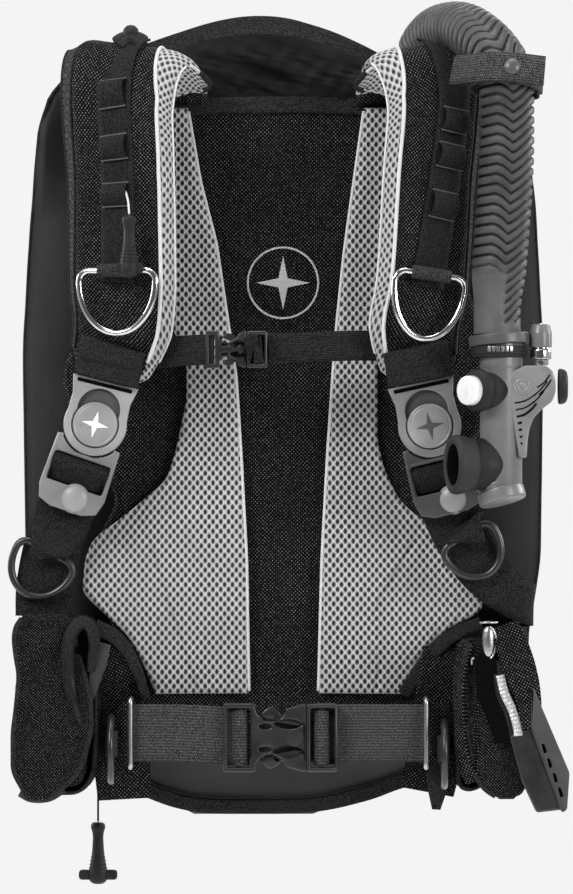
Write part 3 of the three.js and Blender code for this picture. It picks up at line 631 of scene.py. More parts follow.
def coated(name, dark, light, creases=1.6):
    """Smooth coated nylon: a very fine plain weave and soft creases."""
    s = Shader(name, Roughness=0.65, Specular=0.08)
    u, v = s.place(False)
    weave = s.times(s.wave(u, 0.9), s.wave(v, 0.9))
    cloudy = s.range(s.noise(9, 5.0, 0.6), 0.32, 0.68)
    s.set("Base Color", s.colour(s.plus(s.times(cloudy, 0.7), s.times(weave, 0.3)), dark, light))
    s.set("Normal", s.relief(s.noise(26, 5.0, 0.6), creases, s.relief(weave, 0.06)))
    return s.material


def polished(name, level=0.82, roughness=0.07):
    s = Shader(name, Metallic=1.0, Roughness=roughness)
    s.set("Base Color", s.colour(s.range(s.noise(40, 3.0), 0.3, 0.7), level * 0.94, level))
    s.set("Roughness", s.range(s.noise(300, 5.0), 0.35, 0.75, roughness, roughness + 0.05))
    s.set("Normal", s.relief(s.noise(90, 3.0), 0.006))
    return s.material


def stitched(name, level):
    """Thread and piping: fine twisted yarn."""
    s = Shader(name, Roughness=0.75, Specular=0.1)
    u, v = s.place(False)
    ply = s.wave(s.plus(u, s.times(v, 1.3)), 1.1)
    s.set("Base Color", s.colour(ply, level * 0.6, level))
    s.set("Normal", s.relief(ply, 0.2))
    return s.material


LOOK = {
    "cell": coated("cell_nylon", 0.004, 0.0095),
    "lining": coated("lining_satin", 0.002, 0.016, 3.0),
    "skirt": coated("skirt_nylon", 0.034, 0.062, 1.2),
    "skirt_object": coated("lip_nylon", 0.03, 0.055, 0.8),
    "panel": twill("panel_ballistic", 0.002, 0.17, 2.3),
    "strap": twill("strap_ballistic", 0.002, 0.2, 2.3),
    "strap_object": twill("pocket_ballistic", 0.002, 0.14, 1.8, mapped=False),
    "binding": ribbed("binding_tape", 0.002, 0.045, 1.4, 1.6),
    "webbing": ribbed("webbing_black", 0.0015, 0.036),
    "webbing_grey": ribbed("webbing_waist", 0.008, 0.095, 2.4, 1.6),
    "webbing_object": ribbed("webbing_plain", 0.003, 0.075, mapped=False),
    "striped": ribbed("striped_tab", 0.18, 0.75, 9.0, 3.4),
    "mesh": spacer_mesh("mesh_grey", 0.6, 0.2),
    "mesh_light": spacer_mesh("mesh_side", 0.5, 0.22),
    "mesh_black": spacer_mesh("mesh_black", 0.05, 0.004),
    "piping": stitched("piping_light", 0.82),
    "thread": stitched("thread_black", 0.02),
    "thread_grey": stitched("thread_grey", 0.12),
    "emblem": stitched("emblem_thread", 0.6),
    "plastic": moulded("plastic_black", 0.012, 0.36, 0.15),
    "plastic_satin": moulded("plastic_satin", 0.03, 0.45),
    "plastic_grained": moulded("plastic_grained", 0.035, 0.5, 0.0, 0.5),
    "plate": moulded("plate_black", 0.02, 0.42),
    "housing": moulded("plastic_grey", 0.26, 0.42, 0.1),
    "housing_left": moulded("plastic_grey_left", 0.17, 0.42, 0.1),
    "slider_right": moulded("slider_grey", 0.17, 0.42, 0.1),
    "slider_left": moulded("slider_dark", 0.05, 0.42, 0.1),
    "button": moulded("plastic_disc", 0.24, 0.34, 0.2),
    # Painted shade for the shoulder buckles' recess floor. The left star mark takes the same
    # colour.
    "recess": moulded("plastic_recess_shade", 0.06, 0.5),
    "inflator": moulded("inflator_grey", 0.12, 0.36, 0.15),
    "inflator_light": moulded("inflator_valve", 0.17, 0.4, 0.1),
    "rubber_light": rubbery("rubber_lips", 0.024),
    "webbing_retainer": ribbed("webbing_retainer", 0.004, 0.11, 2.2, 1.8),
    "ribs": moulded("inflator_ribs", 0.06, 0.4, 0.1),
    "rubber": rubbery("rubber_black", 0.014),
    "steel": polished("steel_polished", 0.62, 0.12),
    "steel_satin": polished("steel_satin", 0.42, 0.3),
    "white": moulded("plastic_white", 0.82, 0.3, 0.3, 0.02),
    # Painted shade: near-black cloth for slots, bores, grooves, openings and shadows, where only
    # shade is seen.
    "dark": twill("deep_shade", 0.001, 0.006, mapped=False),
}

# ---------------------------------------------------------------- camera, light and floor

VIEW_CENTRE = (2.9, -26.9)     # where the camera looks, across and up
VIEW_TALL = 751                # height of the picture at the front of the vest
CAMERA_AWAY = 5000
FRONT = -105


def stage():
    """The camera, the room's light, the floor and the lamps."""
    scene = bpy.context.scene
    camera = bpy.data.objects.new("camera", bpy.data.cameras.new("camera"))
    camera.data.sensor_width = 36
    camera.data.lens = 36 * CAMERA_AWAY / VIEW_TALL
    camera.location = Vector((VIEW_CENTRE[0], FRONT - CAMERA_AWAY, VIEW_CENTRE[1])) * MM
    camera.rotation_euler = (math.pi / 2, 0, 0)
    camera.data.clip_end = 50
    scene.collection.objects.link(camera)
    scene.camera = camera
    scene.view_settings.view_transform = "Standard"

    world = bpy.data.worlds.new("studio")
    world.use_nodes = True
    tree = world.node_tree
    seen, lit = tree.nodes["Background"], tree.nodes.new("ShaderNodeBackground")
    seen.inputs[0].default_value = (0.905, 0.905, 0.905, 1)
    # The room is dark before the vest and behind the camera, and pale above and beside it.
    way, split = tree.nodes.new("ShaderNodeTexCoord"), tree.nodes.new("ShaderNodeSeparateXYZ")
    ramp = tree.nodes.new("ShaderNodeMapRange")
    tree.links.new(way.outputs["Generated"], split.inputs[0])
    tree.links.new(split.outputs[1], ramp.inputs[0])
    for socket, value in zip(ramp.inputs[1:5], (-0.85, -0.25, 0.1, 0.5)):
        socket.default_value = value
    tree.links.new(ramp.outputs[0], lit.inputs[1])
    lit.inputs[0].default_value = (1, 1, 1, 1)
    path, mixed = tree.nodes.new("ShaderNodeLightPath"), tree.nodes.new("ShaderNodeMixShader")
    tree.links.new(path.outputs["Is Camera Ray"], mixed.inputs[0])
    tree.links.new(lit.outputs[0], mixed.inputs[1])
    tree.links.new(seen.outputs[0], mixed.inputs[2])
    tree.links.new(mixed.outputs[0], tree.nodes["World Output"].inputs[0])
    scene.world = world

    floor = turned("floor", [(0.01, -800), (2400, -800), (2400, -806), (0.01, -806)], 64)
    s = Shader("floor_paint", Roughness=0.9)
    s.set("Base Color", s.colour(s.noise(3, 4.0), 0.84, 0.88))
    floor.data.materials.append(s.material)

    for name, place, size, power in (
        ("key", (-1.6, -2.2, 1.7), 1.1, 78), ("fill", (2.0, -2.0, 0.5), 0.9, 42),
        ("top", (0.1, -0.3, 2.2), 1.2, 30), ("rim_left", (-1.9, 0.6, 0.5), 0.9, 26),
        ("rim_right", (1.9, 0.6, 0.6), 0.9, 26), ("back", (0.2, 2.6, 1.2), 1.4, 30),
    ):
        light = bpy.data.lights.new(name, "AREA")
        light.size = size
        light.energy = power
        holder = bpy.data.objects.new(name, light)
        holder.location = place
        holder.rotation_euler = (-Vector(place)).to_track_quat("-Z", "Y").to_euler()
        scene.collection.objects.link(holder)


# ---------------------------------------------------------------- the rear dump cord

CORD_ROUTE = [(-158.5, -6, -273), (-158.5, -6, -298), (-158.5, -6, -323), (-158.5, -6, -347.6)]
CORD_WIDE = 1.8


def knob(name, x, y, top, tall, wings, body, node):
    """A T-shaped rubber pull: waisted stem, cross wings and a plain band of grip ribs."""
    stem = turned(name, softened([
        (0.01, 0), (4.5, -0.4), (6, -2.2), (6.2, -5), (5, -8.5), (4.4, -13), (5.2, -tall * 0.5),
        (7.2, -tall * 0.72), (8.6, -tall + 7), (7.4, -tall + 3), (4.6, -tall + 0.6),
        (0.01, -tall)], 2.2), 32)
    wing = plate(name + "_wing", [box_ring(-wings / 2, -tall + 4, wings / 2, -tall + 12.5, 3.4)],
                 -3.6, 3.6, 1.2)
    eye = tube(name + "_eye", [(math.cos(a) * 3, 0, -4 + math.sin(a) * 2.4)
                               for a in round_angles(20)], 0.7, 8, closed=True)
    ribs = [tube(name + "_rib", [(math.cos(a) * r, math.sin(a) * r, z)
                                 for a in round_angles(28)], 0.45, 8,
                 closed=True) for r, z in zip(np.linspace(5.4, 7.6, 5),
                                              np.linspace(-tall * 0.5, -tall + 14, 5))]
    made = joined(name, [stem, wing, eye, *ribs])
    moved(made, shift(x, y, top))
    return dressed(made, "rubber", [node], body=body)


def rear_dump():
    x, y, _ = CORD_ROUTE[0]
    path = spline(CORD_ROUTE, np.linspace(0, 1, 60))
    cord = tube("dump_cord", path, CORD_WIDE / 2, 10)
    dressed(cord, "thread", ["rear_dump_cord"], body="rear_pull")
    pull = knob("dump_pull", x, y, -348, 53.5, 33, "rear_pull", "rear_dump_knob")


# ---------------------------------------------------------------- air cell and collar

def curl(x, z):
    """How far back the cell's sides curl, beyond the panel."""
    beyond = np.maximum(0, np.abs(x) - 165) / 57
    return 60 * np.clip(np.minimum((250 - z) / 80, (z + 240) / 60), 0, 1) * beyond ** 2


CELL_LEFT = outline(
    (-318, -120), (-290, -192), (-222, -209), (-122, -220), (55, -222), (196, -214), (245, -209),
    (280, -196), (303, -160), (311, -132), (322, -92), (330, -58), (333, -40))
CELL_RIGHT = outline(
    (-318, 120), (-290, 192), (-222, 209), (-122, 220), (55, 222), (196, 214), (245, 205),
    (264, 186), (276, 150), (284, 112), (298, 92), (311, 72), (322, 45), (330, 8), (333, -14))


def rounded(side, soften=9):
    """An outline with its corners eased, by averaging over a few millimetres."""
    return lambda z: np.mean([side(z + d) for d in np.linspace(-soften, soften, 7)], axis=0)


def soft_slab(name, low, high, left, right, front, thick, edge, rows, columns, relief=None,
              end=None):
    """A stuffed upright panel: crowned faces that pull in round the rim, edge millimetres wide.
    relief(x, z) moves its front face back."""
    end = end or edge
    z = low + (high - low) * (1 - np.cos(np.linspace(0, math.pi, rows))) / 2 * 0.15 \
        + (high - low) * np.linspace(0, 1, rows) * 0.85
    s = np.linspace(0, 1, columns)
    x = left(z)[:, None] * (1 - s) + right(z)[:, None] * s
    zz = np.broadcast_to(z[:, None], x.shape)
    rim = np.minimum(np.minimum(x - left(z)[:, None], right(z)[:, None] - x) / edge,
                     np.minimum(zz - low, high - zz) / end)
    full = np.sqrt(np.clip(1 - (1 - np.clip(rim, 0, 1)) ** 2, 0, 1))
    middle = front(x, zz) + thick / 2
    fore = middle - full * thick / 2 + (0 if relief is None else relief(x, zz) * smooth(rim))
    aft = middle + full * thick / 2
    grid = np.concatenate([np.stack([x, fore, zz], -1), np.stack([x, aft, zz], -1)[:, -2:0:-1]], 1)
    uv = np.concatenate([np.stack([x, zz], -1), np.stack([x, zz], -1)[:, ::-1][:, 1:]], 1)
    made = skin(name, grid, uv)
    weld(made, 1e-6)
    return made


CLOTH_STEPS = 20


def vertices_of(piece):
    """A piece's vertices, in metres."""
    return np.array([v.co for v in piece.data.vertices])


def place_vertices(piece, places):
    """Puts a piece's vertices at places in metres."""
    piece.data.vertices.foreach_set("co", places.astype(np.float32).ravel())
    piece.data.update()


def inflated(piece, pressure, cap):
    """Puffs a closed mesh up as cloth under pressure, no point moving more than cap."""
    rest = vertices_of(piece)
    cloth = piece.modifiers.new("cloth", "CLOTH")
    cloth.settings.use_pressure = True
    cloth.settings.uniform_pressure_force = pressure
    cloth.settings.quality = 4
    cloth.settings.effector_weights.gravity = 0
    cloth.settings.tension_stiffness = 20
    cloth.settings.bending_stiffness = 2
    cloth.point_cache.frame_end = CLOTH_STEPS
    for step in range(1, CLOTH_STEPS + 1):
        bpy.context.scene.frame_set(step)
    bake(piece)
    bpy.context.scene.frame_set(1)
    moved_by = vertices_of(piece) - rest
    far = np.linalg.norm(moved_by, axis=1, keepdims=True)
    place_vertices(piece, rest + moved_by * np.minimum(1, cap * MM / np.maximum(far, 1e-9)))
    for face in piece.data.polygons:
        face.use_smooth = True
    return piece


def bake(piece):
    """Applies a piece's modifiers to its mesh."""
    bpy.context.view_layer.update()
    held = piece.evaluated_get(bpy.context.evaluated_depsgraph_get())
    mesh = bpy.data.meshes.new_from_object(held)
    old = piece.data
    piece.modifiers.clear()
    piece.data = mesh
    mesh.name = piece.name
    bpy.data.meshes.remove(old)


def sculpt(piece, move):
    """Moves each vertex by move(places), both in millimetres."""
    places = vertices_of(piece) / MM
    place_vertices(piece, (places + move(places)) * MM)


def rim_of(piece, levels, sign):
    """The outermost place of a piece at each height, on the side that sign names."""
    p = vertices_of(piece) / MM
    found = []
    for level in levels:
        near = p[np.abs(p[:, 2] - level) < 6]
        found.append(near[np.argmax(sign * near[:, 0])])
    found = np.array(found)
    for k in (0, 1):
        found[:, k] = averaged(found[:, k], 3)
    found[:, 2] = levels
    return found


def air_cell():
    left, right = rounded(CELL_LEFT), rounded(CELL_RIGHT)
    cell = soft_slab("bladder", -317, 330, left, right, lambda x, z: -35 + curl(x, z), 19, 14,
                     110, 60)
    inflated(cell, 2.0, 3.0)

    def creases(p):
        x, _, z = p.T
        lift = 1.6 * ripple(x, z * 0.35, 3, 6, 170) + 0.7 * ripple(x, z, 5, 5, 60)
        return np.stack([0 * x, lift, 0 * x], -1)

    sculpt(cell, creases)
    dressed(cell, "cell", ["air_cell"])
    for name, sign in (("right", -1), ("left", 1)):
        path = rim_of(cell, np.linspace(-306, 304, 88), sign)
        path[:, 0] -= sign * 0.5
        dressed(tube(f"bladder_seam_{name}", path, 1.8, 8), "binding")
    cell_back(cell)


def cell_back(cell):
    """What the cell's back shows: two welded seam tapes, a tape across and four grommets."""
    p = vertices_of(cell) / MM

    def surface(x, z):
        near = p[(p[:, 1] > -30) & (np.hypot(p[:, 0] - x, p[:, 2] - z) < 12)]
        return near[:, 1].mean() if len(near) else -15.0

    def lay(name, line, width):
        y = averaged([surface(x, z) + 0.6 for x, z in line], 5)
        stations = [(x, b, z, 0, 1, 0) for (x, z), b in zip(line, y)]
        return band(name, stations, width, 1.6, steps=70)


    levels = np.linspace(-290, 285, 40)
    tapes = [lay("cell_tape", [(side * (158 + 10 * math.cos(z / 160)), z) for z in levels], 13)
             for side in (-1, 1)]
    tapes.append(lay("cell_tape", [(x, 236 + 10 * math.cos(x / 60)) for x in
                                   np.linspace(-118, 90, 30)], 13))
    tapes.append(lay("cell_tape", [(x, -236) for x in np.linspace(-140, 140, 30)], 13))
    dressed(joined("cell_tape", tapes), "binding")
    eyes = []
    for x, z in ((-128, -292), (128, -292), (-60, -296), (60, -296)):
        eye = turned("grommet", softened([(3.2, 2.2), (5.4, 2.6), (7.4, 1.4), (7.8, -1.0),
                                          (3.2, -1.0), (3.2, 2.2)], 0.4), 28, "Y")
        moved(eye, turn(180), shift(x, surface(x, z) + 0.6, z))
        eyes.append(eye)
    dressed(joined("cell_grommets", eyes), "steel_satin")


COLLAR_TOP = outline((-132, 310), (-92, 324), (-58, 335), (-30, 340), (0, 339), (40, 327),
                     (72, 312), (98, 297))


def collar():
    """The tape over the cell's top edge and the wrinkled lining in the opening under it."""
    x = np.linspace(-128, 94, 70)
    top = rounded(COLLAR_TOP, 12)(x)
    tilt = np.full_like(x, -1.0)
    stations = np.stack([x, np.full_like(x, -39.5), top - 8.5, 0 * x, tilt, 0.25 + 0 * x], -1)
    tape = band("collar_tape", stations.tolist(), 17, 5.5, steps=90, columns=10)
    dressed(tape, "binding")
    rows, columns = 46, 120
    s, t = np.meshgrid(np.linspace(0, 1, columns), np.linspace(0, 1, rows))
    xs = -100 + 190 * s
    zs = 263 * (1 - t) + (rounded(COLLAR_TOP, 12)(xs) - 12) * t
    folds = 5.5 * ripple(xs, zs * 2.2, 11, 5, 75) + 2.2 * ripple(xs, zs * 1.5, 23, 5, 30)
    hollow = 9 * np.exp(-((xs + 28) / 22) ** 2 - ((zs - 274) / 16) ** 2)
    ys = -43 - 6 * np.sin(math.pi * t) + folds * np.sin(math.pi * np.clip(t * 1.1, 0, 1)) + hollow
    front = np.stack([xs, ys, zs], -1)
    back = front + [0, 1.2, 0]
    lining = skin("collar_lining", np.concatenate([front, back[:, ::-1]], 1))
    dressed(lining, "lining")


# ---------------------------------------------------------------- harness panel

def wrap(z):
    """How far the panel's edges come forward round the body, at a height."""
    return 45 * np.exp(-((z + 180) / 110) ** 2)


def panel_front(x, z):
    return -45 - wrap(z) * (x / 170) ** 2


PANEL_LEFT = outline(
    (-339, -64), (-330, -104), (-316, -124), (-290, -140), (-240, -138), (-172, -146),
    (-140, -168), (-120, -168), (-92, -150), (-70, -140), (-30, -165), (13, -185), (38, -188),
    (100, -160), (150, -146), (200, -126), (269, -108))
PANEL_RIGHT = outline(
    (-339, 10), (-330, 62), (-316, 102), (-290, 116), (-240, 126), (-186, 132), (-140, 165),
    (-120, 168), (-92, 150), (-70, 140), (-30, 160), (13, 180), (38, 184), (100, 160), (150, 146),
    (200, 126), (269, 108))
SKIRT_TOP = -288


def panel():
    left, right = rounded(PANEL_LEFT), rounded(PANEL_RIGHT)

    def relief(x, z):
        hem = 0.9 * np.exp(-((z - 255) / 1.6) ** 2)
        return hem + ripple(x, z * 0.7, 31, 5, 150)

    body = soft_slab("harness_panel", SKIRT_TOP - 6, 269, left, right, panel_front, 8, 4,
                     170, 90, relief)
    dressed(body, "panel", ["back_panel"])

    def skirt_relief(x, z):
        return 0.8 * ripple(x, z, 37, 5, 90)

    skirt = soft_slab("harness_skirt", -339, SKIRT_TOP, left, right,
                      lambda x, z: panel_front(x, z) + 1.5, 5, 3, 40, 80, skirt_relief)
    dressed(skirt, "skirt")
    x = np.linspace(-126, 112, 90)
    low = np.interp(x, [-127, -104, -84, -64, 10, 40, 62, 85, 102],
                    [-318, -329, -335, -338, -338, -335, -329, -323, -313])
    low = averaged(low, 13)
    y = panel_front(x, low) + 1.0
    hem = band("skirt_hem", np.stack([x, y, low + 5.5, 0 * x, 0 * x - 1, 0 * x], -1).tolist(),
               12, 7, steps=110)
    dressed(hem, "binding")
    line = tube("skirt_piping", np.stack([x, y - 3.4, low + 13], -1), 0.8, 8)
    dressed(line, "thread")
    top = np.linspace(-106, 106, 60)
    stations = np.stack([top, panel_front(top, 262) - 0.9, 262.5 + 1.5 * np.cos(top / 40),
                         0 * top, 0 * top - 1, 0 * top], -1)
    dressed(band("panel_hem", stations.tolist(), 14, 1.6, steps=70), "binding")
    emblem()


EMBLEM_AT = (0, 112.6)
EMBLEM_RADIUS = 30


def emblem():
    """A plain embroidered compass rose in a ring."""
    x, z = EMBLEM_AT
    ring = tube("emblem_ring", [(x + EMBLEM_RADIUS * math.cos(a), -46.0,
                                 z + EMBLEM_RADIUS * math.sin(a)) for a in round_angles(90)],
                0.95, 8, closed=True)
    rose = plate("emblem_rose", [star_ring(22, 5.5, x, z)], -46.6, -44.8, 0.25)
    dressed(joined("emblem", [ring, rose]), "emblem")


# ---------------------------------------------------------------- back pads

PADS = {
    "right": (
        outline((-236, -108), (-216, -116), (-190, -128), (-168, -150), (-150, -169), (-122, -167),
                (-105, -161), (-84, -133), (-55, -99), (-30, -91), (13, -82), (50, -82),
                (97, -106), (197, -112), (261, -110)),
        outline((-236, -29), (-122, -31), (-29, -36), (34, -40), (67, -45), (147, -57), (197, -70),
                (261, -81)),
    ),
    "left": (
        outline((-236, 30), (-122, 33), (-29, 38), (29, 42), (71, 45), (139, 52), (197, 60),
                (261, 69)),
        outline((-236, 104), (-210, 113), (-188, 130), (-175, 147), (-168, 166), (-147, 171),
                (-105, 150), (-88, 116), (-71, 98), (-46, 86), (-21, 80), (60, 80), (197, 108),
                (261, 108)),
    ),
}
# The sewn channel down each lumbar wing, as (z, x).
CHANNEL = {
    "right": outline((-236, -74), (-200, -84), (-165, -96), (-120, -110), (-100, -117)),
    "left": outline((-236, 78), (-205, 84), (-165, 78), (-140, 92), (-110, 110), (-95, 116)),
}


def back_pads():
    for side, (left, right) in PADS.items():
        left, right = rounded(left, 6), rounded(right, 6)
        channel = rounded(CHANNEL[side], 10)

        def relief(x, z, channel=channel):
            seam = 2.6 * np.exp(-((x - channel(z)) / 2.6) ** 2) * smooth((-95 - z) / 20)
            swell = 1.2 * ripple(x, z, 41, 4, 120)
            return 1.5 * hole_share(x, z) + seam + swell

        pad = soft_slab(f"{side}_pad", -236, 261, left, right,
                        lambda x, z: panel_front(x, z) - 13.6, 12.2, 9,
                        520, 150, relief, end=5)
        dressed(pad, "mesh", [f"{side}_back_pad"])
        inner = right if side == "right" else left
        z = np.linspace(-234, 258, 120)
        x = inner(z)
        path = np.stack([x, panel_front(x, z) - 9.0, z], -1)
        dressed(tube(f"{side}_pad_piping", path, 1.5, 10), "piping")


# ---------------------------------------------------------------- shoulder straps

RIGHT_STRAP = [
    (-103, -46.5, 271, 0, 0.97, 0.2), (-106, -56, 290, -0.1, 0.75, 0.6),
    (-114, -78, 302, -0.25, 0.05, 0.95), (-124, -102, 296, -0.35, -0.5, 0.8),
    (-131, -120, 268, -0.4, -0.85, 0.3), (-131, -130, 200, -0.42, -0.91, 0),
    (-134, -132, 108, -0.42, -0.91, 0), (-136, -127, 75, -0.36, -0.93, 0),
    (-147.3, -112, 31.5, -0.1, -0.99, -0.1)]
LEFT_STRAP = [
    (99, -46.5, 271, 0, 0.97, 0.2), (101, -56, 290, 0.1, 0.75, 0.6),
    (106, -78, 302, 0.28, 0.05, 0.95), (114, -102, 297, 0.4, -0.5, 0.78),
    (122, -118, 270, 0.5, -0.82, 0.28), (119, -126, 200, 0.5, -0.87, 0),
    (115, -127, 105, 0.46, -0.89, 0), (111, -123, 75, 0.36, -0.93, 0),
    (114.3, -112, 31.8, 0.1, -0.99, -0.1)]
STRAPS = {
    # stations, widths and thicknesses at each station, and the sign of across at the inner side
    "right": (RIGHT_STRAP, [82, 82, 82, 82, 82, 82, 82, 80, 62], -1),
    "left": (LEFT_STRAP, [78, 76, 76, 76, 76, 74, 74, 74, 60], 1),
}
STRAP_THICK = [16, 18, 18, 18, 18, 18, 18, 16, 9]
# Share of the strap's width taken by the grey mesh wall on its inner side, at each station, and
# millimetres that its outer and inner edges stand out.
WALL = {
    "right": [0.3, 0.34, 0.3, 0.2, 0.1, 0.09, 0.08, 0.09, 0.1],
    "left": [0.3, 0.34, 0.3, 0.2, 0.1, 0.09, 0.09, 0.1, 0.1],
}
OUTER_MORE = {"right": [0, 4, 11, 12, 10, 6, 3, 0, 0], "left": [0, 3, 7, 9, 9, 6, 3, 0, 0]}
FLANK = [2, 9, 14, 13, 11, 9, 7, 5, 2]     # how far the open mesh of the outer wall leans outwards
INNER_MORE = {"right": [0, 0, -1, -1, 0, 1, 6, 5, 0], "left": [0, 0, -1, -1, 0, 1, 3, 3, 0]}


def strap(side):
    """A padded strap. Round its section: the black face from its outer side to the piping, the
    mesh wall down its inner side, the back, and the open black mesh of its outer wall."""
    stations, widths, inner = STRAPS[side]
    steps = 200
    shares = np.linspace(0, 1, steps)
    centre, out, across = frames_of(stations, shares)
    places = np.linspace(0, 1, len(stations))

    def at(values):
        return np.interp(shares, places, values)

    outer, inside = at(widths) / 2 + at(OUTER_MORE[side]), at(widths) / 2 + at(INNER_MORE[side])
    thick, wall, lean_out = at(STRAP_THICK), at(WALL[side]) * at(widths), at(FLANK)

    def settled(points):
        """The strap lies down towards the neck where it turns over the shoulder."""
        spread = (1,) * (points.ndim - 2)
        middle, way = centre.reshape(steps, *spread, 3), across.reshape(steps, *spread, 3)
        bend = smooth((centre[:, 2] - 215) / 70).reshape(steps, *spread)
        inward = ((points - middle) * way).sum(-1) * inner
        return points - [0, 0, 0.34] * (bend * inward)[..., None]

    v = lengths(centre)
    face, slope = np.linspace(0, 1, 26), np.linspace(0, 1, 26)[1:]
    rear, flank = np.linspace(0, 1, 20)[1:], np.linspace(0, 1, 8)[1:-1]
    grid, uv = [], []
    for i in range(steps):
        edge = inside[i] - wall[i]
        reach = edge + outer[i]
        roll = np.minimum(1, face * reach / 9)
        w = [-outer[i] + reach * face, edge + wall[i] * np.sin(slope * math.pi / 2) ** 0.9,
             inside[i] - (inside[i] + outer[i] + lean_out[i]) * rear,
             -outer[i] - lean_out[i] * (1 - flank)]
        n = [-0.1 + 0.6 * np.sqrt(1 - (1 - roll) ** 2) + 0.05 * np.sin(math.pi * face),
             0.5 - 0.72 * slope ** 1.5, -0.22 - 0.28 * np.sin(math.pi * rear ** 0.7) ** 0.4,
             -0.22 + 0.12 * flank]
        w, n = np.concatenate(w) * inner, np.concatenate(n) * thick[i]
        grid.append(centre[i] + across[i] * w[:, None] + out[i] * n[:, None])
        run = np.append(0, np.cumsum(np.hypot(np.diff(w), np.diff(n))))
        uv.append(np.stack([np.append(run, run[-1] + 2), np.full(len(w) + 1, v[i])], -1))
    grid, uv = np.array(grid), np.array(uv)
    count = grid.shape[1]
    marks = np.zeros((steps - 1, count), int)
    marks[:, len(face) - 1:-len(flank) - 1] = 1
    marks[:15] = 0
    side_wall = slice(len(face), len(face) + len(slope))
    dents = hole_share(uv[:, side_wall, 0], uv[:, side_wall, 1])
    grid[:, side_wall] -= out[:, None] * (0.8 * dents)[..., None]
    wavy = 0.7 * ripple(uv[:, :count, 0], uv[:, :count, 1], 51, 5, 70)
    taper = np.clip(np.minimum(np.arange(steps), np.arange(steps)[::-1]) / 5, 0.15, 1) ** 0.5
    grid = settled(grid + out[:, None] * wavy[..., None])
    grid = centre[:, None] + (grid - centre[:, None]) * (0.65 + 0.35 * taper)[:, None, None]
    made = skin(f"{side}_strap_pad", grid, uv, groups=marks)
    dressed(made, ("strap", "mesh_light"), [f"{side}_shoulder_strap"])
    seam = centre + across * ((inside - wall) * inner)[:, None] + out * (0.53 * thick)[:, None]
    seam = settled(seam)
    dressed(tube(f"{side}_strap_piping", seam[24:-14], 1.6, 10), "piping")
    low = settled(centre + across * ((inside + 0.2) * inner)[:, None]
                  - out * (0.2 * thick)[:, None])
    dressed(tube(f"{side}_strap_edge", low[60:-14], 1.0, 8), "piping")
    for height, size, beyond in ((0.2, 1.3, -0.6), (-0.24, 1.5, lean_out + 0.4)):
        rim = settled(centre - across * ((outer + beyond) * inner)[:, None]
                      + out * (height * thick)[:, None])
        dressed(tube(f"{side}_strap_rim", rim[20:-8], size, 8), "binding")
    # The open black mesh of the outer wall, as a raised lattice.
    fall = np.linspace(0, 1, 9)[None]
    w = -outer[:, None] + 0.6 - (lean_out[:, None] + 1.4) * fall
    n = np.broadcast_to(0.24 - 0.46 * fall, w.shape)
    strip_grid = settled(centre[:, None] + across[:, None] * (w * inner)[..., None]
                         + out[:, None] * (n * thick[:, None])[..., None])[16:-8]
    flat = np.stack(np.broadcast_arrays((-1.2 * w + n * thick[:, None])[16:-8],
                                        v[16:-8, None]), -1)
    lattice = skin(f"{side}_strap_lattice", strip_grid, flat, closed=False)
    dressed(lattice, "mesh_black")


def neck_lip(side):
    """The strap's mesh underside, rolled into view beside the collar, with its bound tip."""
    flip = -1 if side == "right" else 1
    top = [(111, -121, 236), (110, -120, 262), (106.5, -117, 281), (100, -111, 292),
           (89, -101, 296), (75, -89, 292), (62, -77, 279)]
    low = [(111, -119.5, 234), (105, -109, 247), (99.5, -103, 259), (93, -97, 267),
           (84, -90, 271), (73, -82, 274), (61, -76, 275)]
    rows, columns = 70, 40
    shares = np.linspace(0, 1, rows)
    a = spline([(flip * x, y, z) for x, y, z in top], shares)
    b = spline([(flip * x, y, z) for x, y, z in low], shares)
    t = np.linspace(0, 1, columns)[None, :, None]
    middle = a[:, None] * (1 - t) + b[:, None] * t
    puff = np.sin(math.pi * t) ** 0.7 * (2 + 7 * np.sin(math.pi * shares))[:, None, None]
    front = middle + np.concatenate([0 * puff, -puff, 0 * puff], -1)
    uv = np.stack(np.broadcast_arrays(lengths(middle[rows // 2])[None], lengths(a)[:, None]), -1)
    front = front + hole_share(uv[..., 0], uv[..., 1])[..., None] * [0, 1.1, 0]
    back = middle + [0, 6, 0]
    grid = np.concatenate([front, back[:, ::-1]], 1)
    uvs = np.concatenate([uv, uv[:, ::-1], uv[:, :1]], 1)
    made = skin(f"{side}_neck_lip", grid, uvs)
    dressed(made, "mesh_light")
    dressed(tube(f"{side}_neck_piping", a[:-8] + [0, -1.6, 0.4], 1.6, 10), "piping")
    dressed(tube(f"{side}_neck_edge", b[18:-6] + [0, -1.4, -0.4], 1.1, 8), "mesh_light")
    tip = tube(f"{side}_neck_tip", np.array([a[-9], a[-1] + [0, 0, -1], b[-8]]), 3.2, 10, 20)
    dressed(tip, "binding")


# ---------------------------------------------------------------- webbing on the straps, rings

RING_WIRE = 2.75
KEEPER_RADIUS = 5.6


def pose_of(x, y, z, turn_by=0.0, lean_by=0.0):
    return shift(x, y, z) @ turn(turn_by) @ lean(lean_by)


RIGHT_KEEPER = pose_of(-138, -153.5, 120, -15)
LEFT_KEEPER = pose_of(123.5, -147.5, 117, 12, 8)
RIGHT_HIP = pose_of(-196, -116, -114.7, 0, 29.4)
LEFT_HIP = pose_of(152, -116, -101, 0, -33)
RIGHT_WAIST = (-144, -109, -280)
LEFT_WAIST = (135, -111, -284)


